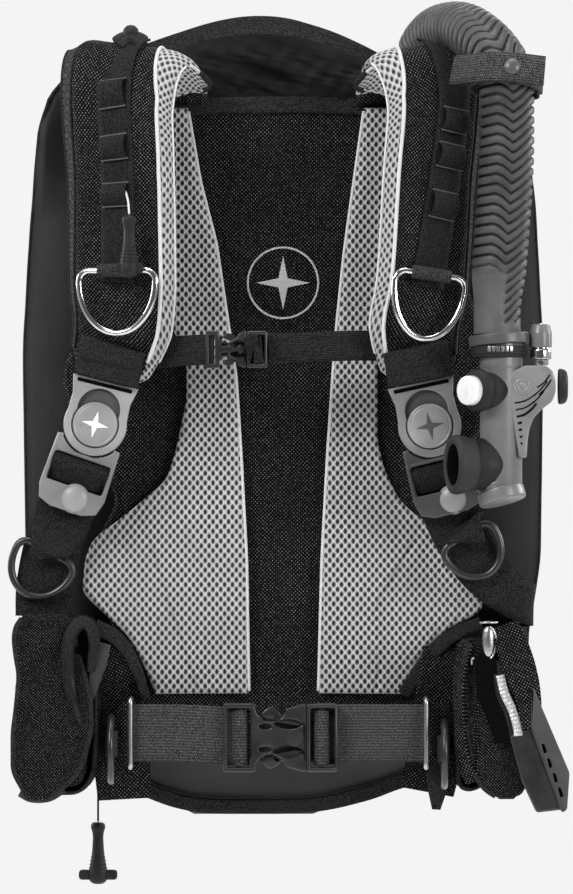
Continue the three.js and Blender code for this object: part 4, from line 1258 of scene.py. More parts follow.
def d_points(width, depth, corner=9):
    """A D's centreline in the XZ plane: its bar along X through the origin, its bow below."""
    half = width / 2
    arc = np.radians(np.linspace(90, 0, 10))
    bar = [(x, 0) for x in np.linspace(-half + corner, half - corner, 16)]
    right = [(half - corner + corner * math.cos(a), -corner + corner * math.sin(a))
             for a in arc[1:]]
    bow = [(half * math.cos(a), -corner + (depth - corner) * math.sin(a))
           for a in np.linspace(0, -math.pi, 60)[1:]]
    left = [(-x, z) for x, z in right[::-1]][1:]
    flat = np.array(bar + right + bow + left)
    return np.stack([flat[:, 0], 0 * flat[:, 0], flat[:, 1]], -1)


def d_ring(name, look, width, depth, *poses, wire=RING_WIRE, flatten=1.0):
    """The ring of the body with its name: a D of wire, flattened front to back."""
    made = tube(name, d_points(width, depth), wire, 18, closed=True)
    moved(made, Matrix.Diagonal((1, flatten, 1, 1)), *poses)
    return dressed(made, look, [name.replace("_d", "_ring")], body=name)


def rings():
    d_ring("right_chest_d", "steel", 66, 52, RIGHT_KEEPER)
    d_ring("left_chest_d", "steel", 60, 54, LEFT_KEEPER)
    d_ring("right_hip_d", "plastic", 52, 40, RIGHT_HIP, wire=3.1, flatten=0.85)
    d_ring("left_hip_d", "plastic", 48, 38, LEFT_HIP, wire=3.1, flatten=0.85)
    for side, at in (("right", RIGHT_WAIST), ("left", LEFT_WAIST)):
        d_ring(f"{side}_waist_d", "plastic", 54, 34, turn(90) @ lean(90), shift(*at), wire=2.9)


def share_at(stations, z):
    """The share of a strap at which its front stretch is at a height."""
    shares = np.linspace(0.35, 1, 200)
    centre = spline([s[:3] for s in stations], shares)
    return float(np.interp(-z, -centre[:, 2], shares))


def keeper(name, pose, long, radius=KEEPER_RADIUS, tail=10.0):
    """The sewn webbing that a ring's bar runs in."""
    roll = turned(name, softened([(RING_WIRE + 0.6, -long / 2), (radius, -long / 2),
                                  (radius, long / 2), (RING_WIRE + 0.6, long / 2)], 1.2),
                  28, "X")
    flap = plate(name + "_flap", [box_ring(-long / 2 + 1, -3.5, long / 2 - 1, 5.2, 1)],
                 RING_WIRE + 1.2, tail, 0.6)
    return moved(joined(name, [roll, flap]), pose)


GEAR_LIFT = 11.8
GEAR = {
    # side: stations, keeper pose, the (top, bottom) heights of the raised loops, and how far the
    # webbing lies outside the strap's middle at each station
    "right": (RIGHT_STRAP, RIGHT_KEEPER, [(274, 254), (232, 212), (192, 173)],
              [-8, -8, -8, -8, -6, -3, 0, 0, 0]),
    "left": (LEFT_STRAP, LEFT_KEEPER, [(254, 236), (226, 206), (186, 164)],
             [16, 17, 18, 18, 17, 12, 0, 0, 0]),
}


def gear_webbing(side):
    stations, pose, loops, aside = GEAR[side]
    stations = [(s[0] + 0.92 * d, s[1] + 0.45 * abs(d), s[2] + 0.02 * abs(d), *s[3:])
                for s, d in zip(stations, aside)]
    bands = [band(f"{side}_gear_band", stations, 30, 2.2, GEAR_LIFT - 0.6, (0.27, 0.745), 120)]
    tacks = []
    for k, (top, low) in enumerate(loops):
        span = (share_at(stations, top), share_at(stations, low))
        bands.append(band(f"{side}_loop_{k}", stations, 23, 2.2, GEAR_LIFT + 1.6, span, 30,
                          sag=lambda t: 7.5 * np.sin(math.pi * t) ** 0.6))
        for z in (top, low):
            share = share_at(stations, z)
            centre, out, across = frames_of(stations, np.array([share]))
            line = [centre[0] + out[0] * (GEAR_LIFT + 3.1) + across[0] * w
                    for w in np.linspace(-12, 12, 12)]
            tacks.append(tube(f"{side}_tack", line, 0.9, 8))
    dressed(joined(f"{side}_gear_band", bands), "webbing", [f"{side}_gear_webbing"])
    dressed(joined(f"{side}_gear_tacks", tacks), "thread_grey")
    hold = keeper(f"{side}_chest_keeper", pose, 33)
    dressed(hold, "webbing_object")


def strap_ends():
    """The wide webbing that ties each strap's end to the top bar of its buckle."""
    right = band("right_strap_end", [(-141.6, -133.5, 59, -0.3, -0.95, 0),
                                     (-144.2, -130.0, 47, -0.2, -0.97, 0),
                                     (-148.2, -122.6, 29.5, -0.1, -0.99, -0.1)],
                 [58, 56, 56], 3, steps=24)
    left = band("left_strap_end", [(110.4, -132.5, 57, 0.3, -0.95, 0),
                                   (112.2, -129.4, 45, 0.2, -0.97, 0),
                                   (114.8, -122.4, 28.5, 0.1, -0.99, -0.1)],
                [57, 55, 55], 3, steps=24)
    for piece in (right, left):
        dressed(piece, "binding")
    for name, pose in (("right", pose_of(-145.2, -130.4, 42, -10, 12)),
                       ("left", pose_of(112.9, -129.8, 41, 10, -9))):
        line = tube(f"{name}_strap_tack", [(x, 0, 0) for x in np.linspace(-24, 24, 14)], 0.7, 8)
        dressed(moved(line, pose), "thread")


# ---------------------------------------------------------------- chest and waist webbing

CHEST = (-39, -129, 54.6)
WAIST = (-2, -117, -270.5)
WAIST_Z = -267


def chest_straps():
    right = band("chest_band_right", [
        (-122, -108.5, 51, -0.3, -0.95, 0), (-107, -114, 51.5, -0.4, -0.9, 0),
        (-90, -125, 53, -0.3, -0.95, 0), (-61, -129, 54.6, 0, -1, 0)], 25, 2.2, steps=50)
    fold = band("chest_fold_right", [
        (-96, -125.2, 52.6, -0.35, -0.93, 0), (-86, -129.4, 53.4, -0.2, -1, 0),
        (-70, -132.2, 54.3, -0.05, -1, 0), (-62.5, -132, 54.6, 0, -1, 0),
        (-60.5, -129, 54.6, 1, 0, 0)], 25, 2.0, steps=50)
    dressed(joined("chest_band_right", [right, fold]), "webbing", ["chest_strap_right"])
    left = band("chest_band_left", [
        (-30, -121.8, 55.2, 0, -1, 0), (30, -121.6, 57, 0, -1, 0), (58, -119.5, 58, 0.1, -1, 0),
        (76, -113.5, 58, 0.4, -0.9, 0), (92, -108, 58, 0.42, -0.9, 0),
        (104, -105, 57, 0.2, -0.9, 0)], 25, 2.2, steps=60, sag=lambda t: 0.5 * np.sin(9 * t))
    dressed(left, "webbing", ["chest_strap_left"])
    wrap_round = band("chest_clip_wrap", [
        (-13.5, -124.6, 55.2, 0, -1, 0), (-16.5, -126, 55.1, -0.7, -0.7, 0),
        (-18.6, -129.5, 54.9, -1, 0, 0), (-20.6, -132.6, 54.8, -0.5, -1, 0),
        (-23, -133.6, 54.7, 0, -1, 0), (-25.2, -132, 54.6, 1, -0.6, 0)], 25, 1.8, steps=40)
    dressed(wrap_round, "webbing", body="chest_clip")


def waist_straps():
    right = band("waist_band_right", [
        (-127, -108.2, WAIST_Z, 0, -1, 0), (-90, -113, WAIST_Z, 0, -1, 0),
        (-46, -116.2, WAIST_Z - 2, 0, -1, 0), (-37, -117.5, WAIST_Z - 3, 0, -1, 0)],
        48, 2.4, steps=80)
    roll = band("waist_roll_right", [
        (-45.5, -114.5, -270.5, 0, -1, 0), (-41, -119, -270.5, -0.7, -0.7, 0),
        (-36, -122.3, -270.5, 0, -1, 0), (-31, -119, -270.5, 0.7, -0.7, 0),
        (-29, -114.5, -270.5, 1, 0, 0)], 46, 2.0, steps=40)
    dressed(joined("waist_band_right", [right, roll]), "webbing_grey", ["waist_strap_right"])
    left = band("waist_band_left", [
        (14, -107.8, WAIST_Z, 0, -1, 0), (50, -107.6, WAIST_Z, 0, -1, 0),
        (90, -107.6, WAIST_Z, 0, -1, 0), (119, -107.8, WAIST_Z, 0, -1, 0)], 48, 2.4, steps=80)
    dressed(left, "webbing_grey", ["waist_strap_left"])
    clip_roll = band("waist_clip_wrap", [
        (46.5, -110.8, -270, 0, -1, 0), (41, -112, -270.3, 0.5, -1, 0),
        (36.5, -119.5, -270.5, 0.8, -0.7, 0), (32, -122.6, -270.5, 0, -1, 0),
        (27.4, -119, -270.5, -0.8, -0.7, 0), (26.4, -114, -270.5, -1, 0, 0)], 45, 2.0, steps=40)
    dressed(clip_roll, "webbing_grey", body="waist_clip")
    for side, stations in (
            ("right", [(-151.6, -99), (-144, -102.5), (-135, -106.2), (-127.6, -108)]),
            ("left", [(119.4, -107.8), (128, -106.6), (135, -104.5), (142.6, -100)])):
        tuck = band(f"waist_tuck_{side}", [(x, y, WAIST_Z, 0, -1, 0) for x, y in stations], 52,
                    2.6, steps=24)
        dressed(tuck, "strap")
    for side, (x, y, z) in (("right", RIGHT_WAIST), ("left", LEFT_WAIST)):
        hold = turned(f"{side}_waist_keeper", softened(
            [(RING_WIRE + 0.6, -11), (KEEPER_RADIUS, -11), (KEEPER_RADIUS, 11),
             (RING_WIRE + 0.6, 11)], 1.2), 28)
        flap = plate(f"{side}_flap", [box_ring(-4, -11, 4, 11, 1)], 3.6, 8, 0.6)
        moved(joined(f"{side}_waist_keeper", [hold, flap]), shift(x, y, z + 4))
        dressed(bpy.data.objects[f"{side}_waist_keeper"], "webbing_object")
    for side, x, y in (("right", -128, -108), ("left", 120, -109)):
        ring = box_ring(-9, -28.6, 9, 28.6, 4, 8)
        loop = tube(f"{side}_waist_loop", [(x, y + a, WAIST_Z + b) for a, b in ring], 2.2, 16,
                    closed=True)
        dressed(loop, "steel_satin", [f"{side}_waist_loop"])


# ---------------------------------------------------------------- side-release buckles

def leaf(x0, x1, z, tall, steps=24):
    """A pointed oval from x0 to x1."""
    t = np.linspace(0, 1, steps)
    x = x0 + (x1 - x0) * t
    rise = tall / 2 * np.sin(math.pi * t) ** 0.8
    return np.concatenate([np.stack([x, z - rise], -1), np.stack([x, z + rise], -1)[-2:0:-1]])


def mirrored(ring):
    return np.asarray(ring)[::-1] * [1, -1]


def side_release(name, at, half, depth, frame_left, neck, scallop, dip, mouth, right, body):
    """Socket to -X, clip to +X. half is half the height; the scallop, from neck to mouth's
    shoulder, bares each prong's head and dips to the height dip. The socket's faces are two
    plates with the cavity between them, so the clip draws out."""
    face = depth * 0.24
    top = [(frame_left, half), (neck, half)]
    reach = np.linspace(0, math.pi, 16)[1:-1]
    middle, wide = (scallop[0] + scallop[1]) / 2, (scallop[1] - scallop[0]) / 2
    bowl = [(middle - wide * math.cos(a), half - (half - dip) * math.sin(a) ** 0.8) for a in reach]
    top += bowl + [(mouth - 1, half), (mouth, half * 0.93)]
    rim = np.array(top + [(x, -z) for x, z in top[::-1]])
    rim = ring_round(rim, [1.2] * len(rim), 3)
    slot = box_ring(frame_left + 3, -half + 3.4, neck - 2.2, half - 3.4, 2)
    window = leaf(middle + 0.15 * wide, mouth - 1.5, dip * 0.86, half * 0.3)
    eye = oval_ring(middle - 0.35 * wide, dip * 0.72, wide * 0.42, half * 0.09)
    holes = [slot, window, mirrored(window), eye, mirrored(eye)]
    fore = plate(name + "_face", [rim, *holes], -depth / 2, -depth / 2 + face, 0.9)
    aft = plate(name + "_rear", [rim, slot], depth / 2 - face, depth / 2, 0.9)
    frame_rim = box_ring(frame_left + 0.4, -half + 0.4, neck + 1.5, half - 0.4, 2.4)
    inside = depth / 2 - face + 0.6
    core = plate(name + "_core", [frame_rim, slot], -inside, inside, 0.3)
    spine_ring = box_ring(neck, -half * 0.18, middle - 0.3 * wide, half * 0.18, 1)
    spine = plate(name + "_spine", [spine_ring], -inside, inside, 0.2)
    bar_x = (frame_left + neck) / 2 + 0.4
    bar = plate(name + "_bar", [box_ring(bar_x - 1.7, -half + 2, bar_x + 1.7, half - 2, 0.5)],
                -depth * 0.22, depth * 0.22, 0.6)
    ridge = plate(name + "_ridge", [leaf(scallop[1] - 1, mouth - 2, 0, half * 0.5)],
                  -depth / 2 - 0.5, -depth / 2 + 0.6, 0.3)
    socket = joined(name + "_socket_body", [fore, aft, core, spine, bar, ridge])
    moved(socket, shift(*at))
    dressed(socket, "plastic", [name + "_socket"])

    thin = depth / 2 - face - 0.5
    outer = box_ring(mouth + 0.5, -half, right, half, 3)
    gap = box_ring(mouth + 4, -half + 3.2, right - 2.6, half - 3.2, 2)
    frame_plate = plate(name + "_frame", [outer, gap], -depth / 2, depth / 2, 1.3)
    bar_x = (mouth + right) / 2 - 0.8
    bar = plate(name + "_bar", [box_ring(bar_x - 1.8, -half + 2, bar_x + 1.8, half - 2, 0.5)],
                -depth * 0.22, depth * 0.22, 0.6)
    parts = [frame_plate, bar]
    for flip in (1, -1):
        head = ring_round([(middle - 0.75 * wide, flip * half * 0.66), (middle, flip * half * 0.96),
                           (middle + 0.8 * wide, flip * half * 0.66),
                           (middle, flip * half * 0.5)], 5, 6)
        parts.append(plate(name + "_head", [head], -thin, thin, 0.8))
        arm = ring_round([(middle, flip * half * 0.5), (middle + 0.3 * wide, flip * half * 0.72),
                          (mouth + 1.5, flip * half * 0.5), (mouth + 1.5, flip * half * 0.3)], 2, 4)
        parts.append(plate(name + "_arm", [arm], -thin, thin, 0.5))
    tongue = plate(name + "_tongue", [box_ring(middle + 0.1 * wide, -half * 0.1, mouth + 1.5,
                                               half * 0.1, 1)], -thin, thin, 0.4)
    clip = joined(name + "_clip_body", [*parts, tongue])
    moved(clip, shift(*at))
    dressed(clip, "plastic", [name + "_clip"], body=body)


def buckles():
    side_release("waist_buckle", WAIST, half=28.5, depth=14, frame_left=-48, neck=-22.5,
                 scallop=(-21.5, 5), dip=13.5, mouth=21, right=48, body="waist_clip")
    side_release("chest_buckle", CHEST, half=15.5, depth=11, frame_left=-26, neck=-15.5,
                 scallop=(-15, 1.5), dip=5.5, mouth=8, right=26, body="chest_clip")


# ---------------------------------------------------------------- shoulder buckles

BOSS = 26.5
DISC = 18.9


def shoulder_buckle(side, x, z, housing_lean, slider_lean):
    at = pose_of(x, 0, z, 0, housing_lean)
    sides = [(-27, 37.3), (-24.6, 22), (-25.3, 8)]
    arc = [(BOSS * math.cos(a), BOSS * math.sin(a)) for a in np.radians(np.linspace(164, 376, 40))]
    rim = np.array(sides + arc + [(-a, b) for a, b in sides[::-1]])
    angle = round_angles(90)
    rise, arch_radius = 12.5, 17.8
    crescent = rise * np.sin(angle) + np.sqrt(
        np.maximum(arch_radius ** 2 - (rise * np.cos(angle)) ** 2, 0))
    reach = np.maximum(DISC + 0.9, crescent)
    well = np.stack([reach * np.cos(angle), reach * np.sin(angle)], -1)
    face = plate(f"{side}_housing", [rim, well], -118, -110.5, 1.2, 3)
    slot = box_ring(-23.5, 32.2, 23.5, 35.4, 1)
    rear = plate(f"{side}_housing_rear", [shrunk(rim, 0.3)], -111, -104, 0.8)
    body = joined(f"{side}_housing", [face, rear])
    moved(body, at)
    dressed(body, "housing" if side == "right" else "housing_left", [f"{side}_buckle_housing"])
    hole = (DISC + 0.4) * np.stack([np.cos(angle), np.sin(angle)], -1)
    # Painted shade: the well's floor round the disc is coloured dark, for the shade in the recess.
    floor = plate(f"{side}_recess", [shrunk(well, 0.4), hole], -113.4, -110.8, 0.1)
    dressed(moved(floor, at), "recess")
    # Painted shade: a dark strip in the slot along the housing's top.
    line = plate(f"{side}_top_slot_shade", [slot], -118.25, -117.5, 0.1)
    dressed(moved(line, at), "dark")

    disc = turned(f"{side}_disc", softened([
        (0.01, 120.2), (10, 120.1), (15.6, 119.6), (16.4, 118.9), (17.2, 119.5),
        (DISC - 0.6, 119.1), (DISC, 118.2), (DISC, 113.6), (0.01, 113.6)], 0.8), 72, "Y")
    mark = plate(f"{side}_star", [star_ring(11, 3.2)], -120.7, -119.6, 0.2)
    mark.data.materials.append(LOOK["white" if side == "right" else "recess"])
    disc.data.materials.append(LOOK["button"])
    button = moved(joined(f"{side}_disc", [disc, mark]), at)
    dressed(button, "button", [f"{side}_buckle_button"], body=f"{side}_button")

    low = pose_of(x, 0, z, 0, slider_lean)
    top = [(-28.2 * math.cos(a), -28.2 * math.sin(a)) for a in np.radians(np.linspace(33, 147, 30))]
    rim = np.array([*top, (27.5, -17), (28.6, -60), (25, -72), (14, -76.5), (-14, -76.5),
                    (-25, -72), (-28.6, -60), (-27.5, -17)])
    gap = box_ring(-24.6, -55.5, 24.6, -30.4, 2.2)
    frame_plate = plate(f"{side}_slider", [rim, gap], -117.4, -108.6, 1.5, 3)
    dome = turned(f"{side}_dome", [(0.01, 120.4), (5, 120.0), (9, 118.6), (12.6, 116.4),
                                   (12.6, 114), (0.01, 114)], 40, "Y")
    moved(dome, shift(4, 0, -64.5))
    lip = tube(f"{side}_lip", [(a, -116.8, -28.4) for a in np.linspace(-24, 24, 12)], 1.3, 10)
    slider = moved(joined(f"{side}_slider", [frame_plate, lip]), low)
    dressed(slider, f"slider_{side}", [f"{side}_buckle_slider"], body=f"{side}_slider")
    dressed(moved(dome, low), "housing", body=f"{side}_slider")
    roll = band(f"{side}_slider_roll", [(0, -109.4, -54, 0, -0.6, -1), (0, -112, -47, 0, -1, -0.6),
                                        (0, -115.8, -42, 0, -1, -0.3), (0, -117.2, -37, 0, -1, 0.2),
                                        (0, -113.5, -32.2, 0, 0, 1)], 47.5, 2.2, steps=30)
    dressed(moved(roll, low), "webbing", body=f"{side}_slider")


def lower_webbings():
    right = band("right_lower_band", [
        (-167.5, -104.4, -37, 0, -1, 0), (-182, -104, -78, 0, -1, 0),
        (-189, -104.6, -95, 0, -1, 0), (-194, -107.2, -112, 0, -1, 0), (-200, -108, -145, 0, -1, 0),
        (-200.5, -108, -169, 0, -1, 0)], 48, 2.4, steps=70)
    over = band("right_lower_fold", [
        (-186.5, -106.4, -90, 0, -1, 0), (-190, -110, -99, 0, -1, 0),
        (-194.2, -119.6, -110.5, 0, -1, -0.1), (-197, -122.2, -115.6, -0.2, -1, -0.6),
        (-197.8, -118.5, -120, 0, 0, -1)], [48, 44, 34, 31, 31], 2.2, steps=50)
    dressed(joined("right_lower_band", [right, over]), "webbing", ["right_lower_webbing"])
    left = band("left_lower_band", [
        (130.5, -104.4, -38, 0, -1, 0), (140, -104, -78, 0, -1, 0),
        (151, -106.2, -104, 0, -1, 0), (166, -108, -128, 0, -1, 0),
        (186, -108, -147, 0, -1, 0), (200, -106, -155.5, 0.1, -1, 0),
        (209, -97, -160, 0.7, -0.7, 0), (208, -80, -162, 0.9, 0.4, 0),
        (190, -60, -165, 0.6, 0.8, 0), (166, -48, -167, 0.4, 0.9, 0)],
        [48, 48, 46, 42, 38, 36, 34, 32, 30, 30], 2.4, steps=110)
    over = band("left_lower_fold", [
        (147.6, -106.4, -94, 0, -1, 0), (148.6, -111, -95.5, 0, -1, 0),
        (150.6, -119.8, -98, 0, -1, 0), (153, -122.2, -102.5, 0.2, -1, -0.6),
        (154.4, -118.5, -106.4, 0, 0, -1)], [48, 44, 34, 31, 31], 2.2, steps=50)
    dressed(joined("left_lower_band", [left, over]), "webbing", ["left_lower_webbing"])


# ---------------------------------------------------------------- hose, retainer and inflator

HOSE_RADIUS = 23
HOSE_PITCH = 8.4
HOSE_PIVOT = (186.5, -145, 250)
HOSE_LOW = 67             # the height at which the hose ends on the inflator
SLEEVE_RADIUS = 19.5      # the smooth sleeve at its lower end
GROOVE_DEPTH = 2.6
HOSE_ROUTE = [
    (118, 12, 288), (118, 12, 297), (121, 4, 313), (130, -20, 325), (141, -50, 328),
    (153, -84, 325), (165, -116, 315), (176, -136, 302), (184, -145.4, 288), (186.5, -145, 279)]


def hose_material():
    """Corrugated rubber: the first coordinate counts the grooves, the second says how deep. The
    grooves are painted near black, as painted shade.
    """
    s = Shader("hose_corrugated", Roughness=0.5, Specular=0.3)
    u, v = s.place()
    groove_shade = s.times(s.range(s.wave(u, HOSE_PITCH), 0.7, 0.92), v)
    cloudy = s.range(s.noise(28, 4.0), 0.3, 0.7)
    skin_tone = s.colour(v, s.colour(cloudy, 0.07, 0.105), s.colour(cloudy, 0.036, 0.064))
    # Painted shade: the grooves are coloured near black.
    s.set("Base Color", s.colour(groove_shade, skin_tone, 0.002))
    s.set("Roughness", s.range(s.noise(90, 4.0), 0.3, 0.7, 0.42, 0.6))
    s.set("Normal", s.relief(s.noise(900, 3.0), 0.06))
    return s.material


def hose():
    """The corrugated hose from its elbow, over the shoulder and down to the inflator. Its grooves
    are chevrons, which fade out on the smooth sleeve at its lower end."""
    pivot_x, pivot_y, pivot_z = HOSE_PIVOT
    curve = spline(HOSE_ROUTE, np.linspace(0, 1, 400))
    run = lengths(curve)
    even = np.linspace(0, run[-1], int(run[-1]))
    arch = np.stack([np.interp(even, run, curve[:, k]) for k in range(3)], -1)
    drop = np.linspace(HOSE_ROUTE[-1][2] - 1, HOSE_LOW, 213)
    path = np.concatenate([arch, np.stack([0 * drop + pivot_x, 0 * drop + pivot_y, drop], -1)])
    hangs = np.arange(len(path)) > len(even)
    path[:, 0] -= 8 * smooth((230 - path[:, 2]) / 150) * hangs
    along = unit(np.gradient(path, axis=0))
    side = np.zeros_like(path)
    side[-1] = (1, 0, 0)
    for k in range(len(path) - 2, -1, -1):
        side[k] = unit(side[k + 1] - (side[k + 1] @ along[k]) * along[k])
    fore = np.cross(along, side)
    fore *= np.sign(fore[-1] @ np.array([0, -1.0, 0]))
    angle = round_angles(72)
    across, ahead = np.cos(angle), np.sin(angle)
    run = lengths(path)
    narrows = smooth((125 - path[:, 2]) / 38) * hangs
    reach = HOSE_RADIUS + (SLEEVE_RADIUS - HOSE_RADIUS) * narrows
    wavy = np.interp(np.linspace(-1.2, 1.2, 241), [-1.2, -0.85, -0.4, -0.14, 0.2, 0.55, 0.85, 1.2],
                     [-2, 0, 2.0, 0.4, -5.6, 0.4, 8.5, 12])
    wavy = np.convolve(np.pad(wavy, 8, "edge"), np.hanning(17) / np.hanning(17).sum(), "valid")
    chevron = np.interp(across, np.linspace(-1.2, 1.2, 241), wavy)
    phase = run[:, None] + chevron
    low = np.clip((128 - path[:, 2]) / 14, 0, 1) * hangs
    depth = 1 - low[:, None] * smooth((0.38 - across[None] - 0.25 * (ahead[None] < 0)) / 0.2)
    depth = depth * smooth((path[:, 2, None] - 72) / 8)
    notch = depth * np.clip(0.5 + 0.5 * np.sin(phase * TAU / HOSE_PITCH), 0, 1) ** 5
    radius = reach[:, None] - GROOVE_DEPTH * notch
    grid = (path[:, None] + side[:, None] * (across * radius)[..., None]
            + fore[:, None] * (ahead * radius)[..., None])
    closed_phase = np.concatenate([phase, phase[:, :1]], 1)
    closed_depth = np.concatenate([depth, depth[:, :1]], 1)
    pipe = skin("air_hose", grid, np.stack([closed_phase, closed_depth], -1))
    pipe.data.materials.append(hose_material())
    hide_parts("hose_upper", "hose_lower")
    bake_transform(pipe)


def retainer():
    """The webbing round the hose at the shoulder, its tail outwards, closed by a domed snap."""
    cx, cy, cz = 186, -140.4, 281
    angle = np.linspace(math.radians(-250), math.radians(88), 70)
    ring = [(cx + 30.2 * math.sin(a), cy - 30.2 * math.cos(a), 0, math.sin(a), -math.cos(a), 0)
            for a in angle]
    around = band("retainer_band", ring, 24, 2.4, steps=90)
    tail = band("retainer_tail", [
        (cx - 45, cy + 6, 4, -0.4, -0.9, 0), (cx - 35, cy - 8, 2, -0.6, -0.8, 0),
        (cx - 24, cy - 24, 0, -0.5, -0.85, 0), (cx - 12, cy - 31.6, 0, -0.3, -1, 0),
        (cx, cy - 33.4, 0, 0, -1, 0), (cx + 14, cy - 33.4, 0, 0, -1, 0),
        (cx + 23, cy - 32, 0, 0, -1, 0), (cx + 31, cy - 31, 0, 0, -1, 0)], 25, 2.4, steps=60)
    both = joined("retainer_band", [around, tail])
    moved(both, shift(-cx, -cy, 0), lean(5), tip(-12), shift(cx, cy, cz))
    dressed(both, "webbing_retainer", ["hose_retainer"])
    snap = turned("retainer_snap_dome", softened([
        (0.01, 3.4), (3, 3.2), (5.6, 2.2), (6.6, 1.0), (6.9, 0.4), (6.9, -1.4), (0.01, -1.4)], 0.6),
        40, "Y")
    moved(snap, tip(-12), shift(190, cy - 34.6, 288.5))
    dressed(snap, "ribs", ["retainer_snap"])


INFLATOR_AT = (181.5, -150)


def facing(direction, z):
    """A matrix that turns a piece built along +Y to point along a level direction."""
    angle = math.atan2(direction[1], direction[0]) - math.pi / 2
    return shift(INFLATOR_AT[0], INFLATOR_AT[1], z) @ Matrix.Rotation(angle, 4, "Z")


def elliptical(name, profile, wide, tall, steps=56):
    """A lathe along +Y whose section is an ellipse. profile is [(share of the radii, y)]."""
    angle = round_angles(steps)
    p = np.asarray(profile, float)
    grid = np.stack([p[:, :1] * wide * np.cos(angle), np.broadcast_to(p[:, 1:], (len(p), steps)),
                     p[:, :1] * tall * np.sin(angle)], -1)
    made = skin(name, grid)
    weld(made)
    return made


def inflator():
    x, y = INFLATOR_AT

    def tipped(piece, z, share=1.0):
        """Puts a piece on the tube at a height, leaning outwards and forwards."""
        return moved(piece, lean(-14 * share), tip(-10 * share), shift(x, y, z))

    body = turned("inflator_tube", softened([
        (0.01, 66), (17.3, 66), (17.3, 52), (17.8, 51), (17.8, 40), (17.5, 39), (17.6, -60),
        (0.01, -60)], 0.8), 72)
    moved(body, shift(x, y, 0))
    nut = tipped(turned("inflator_nut", softened([
        (0.01, 8.6), (18.2, 8.6), (18.9, 7.8), (18.9, 5.4), (18.0, 4.6), (18.0, 3.6), (19.6, 2.8),
        (19.9, 1.6), (19.9, -6.0), (19.0, -7.6), (0.01, -7.8)], 0.6), 72), -65.5)
    dressed(joined("inflator_tube", [body, nut]), "inflator", ["inflator_body"], body="inflator")

    button_way, mouth_way = (-0.75, -0.66), (-0.92, -0.39)
    boot = elliptical("button_boot", softened([
        (0.01, 2), (0.98, 2), (1.0, 14), (0.93, 18), (0.93, 21), (1.08, 24), (1.1, 28),
        (0.98, 31.4), (0.78, 32.2), (0.74, 33.0), (0.01, 33.0)], 1.2), 16.2, 16.6)
    moved(boot, facing(button_way, 20))
    cone = elliptical("mouth_boot", softened([
        (0.01, 2), (1.0, 2), (1.0, 12), (0.98, 19), (0.9, 22.5), (0.88, 27), (0.01, 27)], 1.5),
        16.6, 22.4)
    moved(cone, facing(mouth_way, -41.6))
    dressed(joined("rubber_boots", [boot, cone]), "rubber", body="inflator")

    button = elliptical("oval_button", softened([
        (0.01, 31), (1.0, 31), (1.0, 38), (0.94, 39.8), (0.5, 40.3), (0.01, 40.4)], 0.7),
        12.3, 12.3)
    moved(button, facing(button_way, 20))
    dressed(button, "white", ["deflate_button"], body="deflate_key")

    lips = elliptical("mouthpiece", softened([
        (0.01, 31), (0.6, 31), (0.62, 34), (0.7, 44.6), (0.84, 45.8), (0.97, 44.4), (1.0, 41),
        (0.97, 36), (0.9, 30), (0.88, 25.5), (0.01, 25.5)], 1.2), 18.6, 25)
    moved(lips, facing(mouth_way, -41.6))
    dressed(lips, "rubber_light", ["inflator_mouthpiece"], body="inflator")
    # Painted shade inside the mouthpiece's bore: a dark lining.
    bore_shade = elliptical("mouth_bore_shade", [
        (0.01, 31.9), (0.585, 31.9), (0.605, 34.2), (0.672, 43.8), (0.69, 43.6), (0.615, 34),
        (0.595, 31.2), (0.01, 31.2)], 18.6, 25)
    moved(bore_shade, facing(mouth_way, -41.6))
    dressed(bore_shade, "dark", body="inflator")

    wider = [shift(-x, -y, 0), Matrix.Diagonal((1.17, 1.05, 1, 1)), shift(x - 1.5, y, 0)]
    band_top = tipped(turned("clamp_band", softened([
        (16, 4.4), (21.2, 4.4), (21.8, 3.6), (21.8, -3.8), (21.0, -4.4), (16, -4.4)], 0.5), 72),
        62.3, 0.35)
    moved(band_top, *wider)
    dressed(band_top, "ribs", ["hose_clamp"], body="inflator")
    collar_low = turned("clamp_rings", softened([
        (16, 57.4), (19.4, 57.4), (19.8, 56.6), (19.8, 52.6), (20.4, 52), (20.4, 50.6),
        (19.6, 50), (19.6, 48.2), (18.4, 47.6), (16, 47.6)], 0.4), 72)
    dressed(moved(collar_low, shift(x, y, 0), *wider), "rubber", body="inflator")
    teeth = []
    for k, a in enumerate(np.radians(np.arange(-112, -58, 9.0))):
        tooth = plate("tooth", [box_ring(-1.2, -2.4, 1.2, 2.4, 0.5)], -0.9, 0.6, 0.35)
        teeth.append(moved(tooth, Matrix.Rotation(a + math.pi / 2, 4, "Z"),
                           shift(x + 20.1 * math.cos(a), y + 20.1 * math.sin(a), 54.6)))
    dressed(moved(joined("clamp_teeth", teeth), *wider), "steel_satin", body="inflator")

    drop = ring_round([
        (187, 27.6), (190, 35.5), (200, 40.6), (218, 41), (224.2, 36), (226.3, 28),
        (226.3, 19), (223.6, 11), (214, 3.6), (208, -3), (204.6, -12), (203, -22),
        (202.4, -36), (196, -36), (192, -12), (188.6, 8)], 2.6, 5)
    shell = plate("valve_housing", [drop], y - 15.5, y + 15, 1.6, 4)
    boss = turned("valve_boss", [
        (0.01, 0.9), (2.4, 0.9), (2.8, 0.2), (3.9, 0.2), (4.3, 0.9), (5.5, 0.9), (5.9, 0.2),
        (6.9, 0.2), (7.4, 0.8), (8.2, 0.4), (8.4, -1), (0.01, -1)], 56, "Y")
    moved(boss, shift(199, y - 15.4, 24.5))
    dressed(joined("valve_housing", [shell, boss]), "inflator_light", ["inflator_housing"],
            body="inflator")
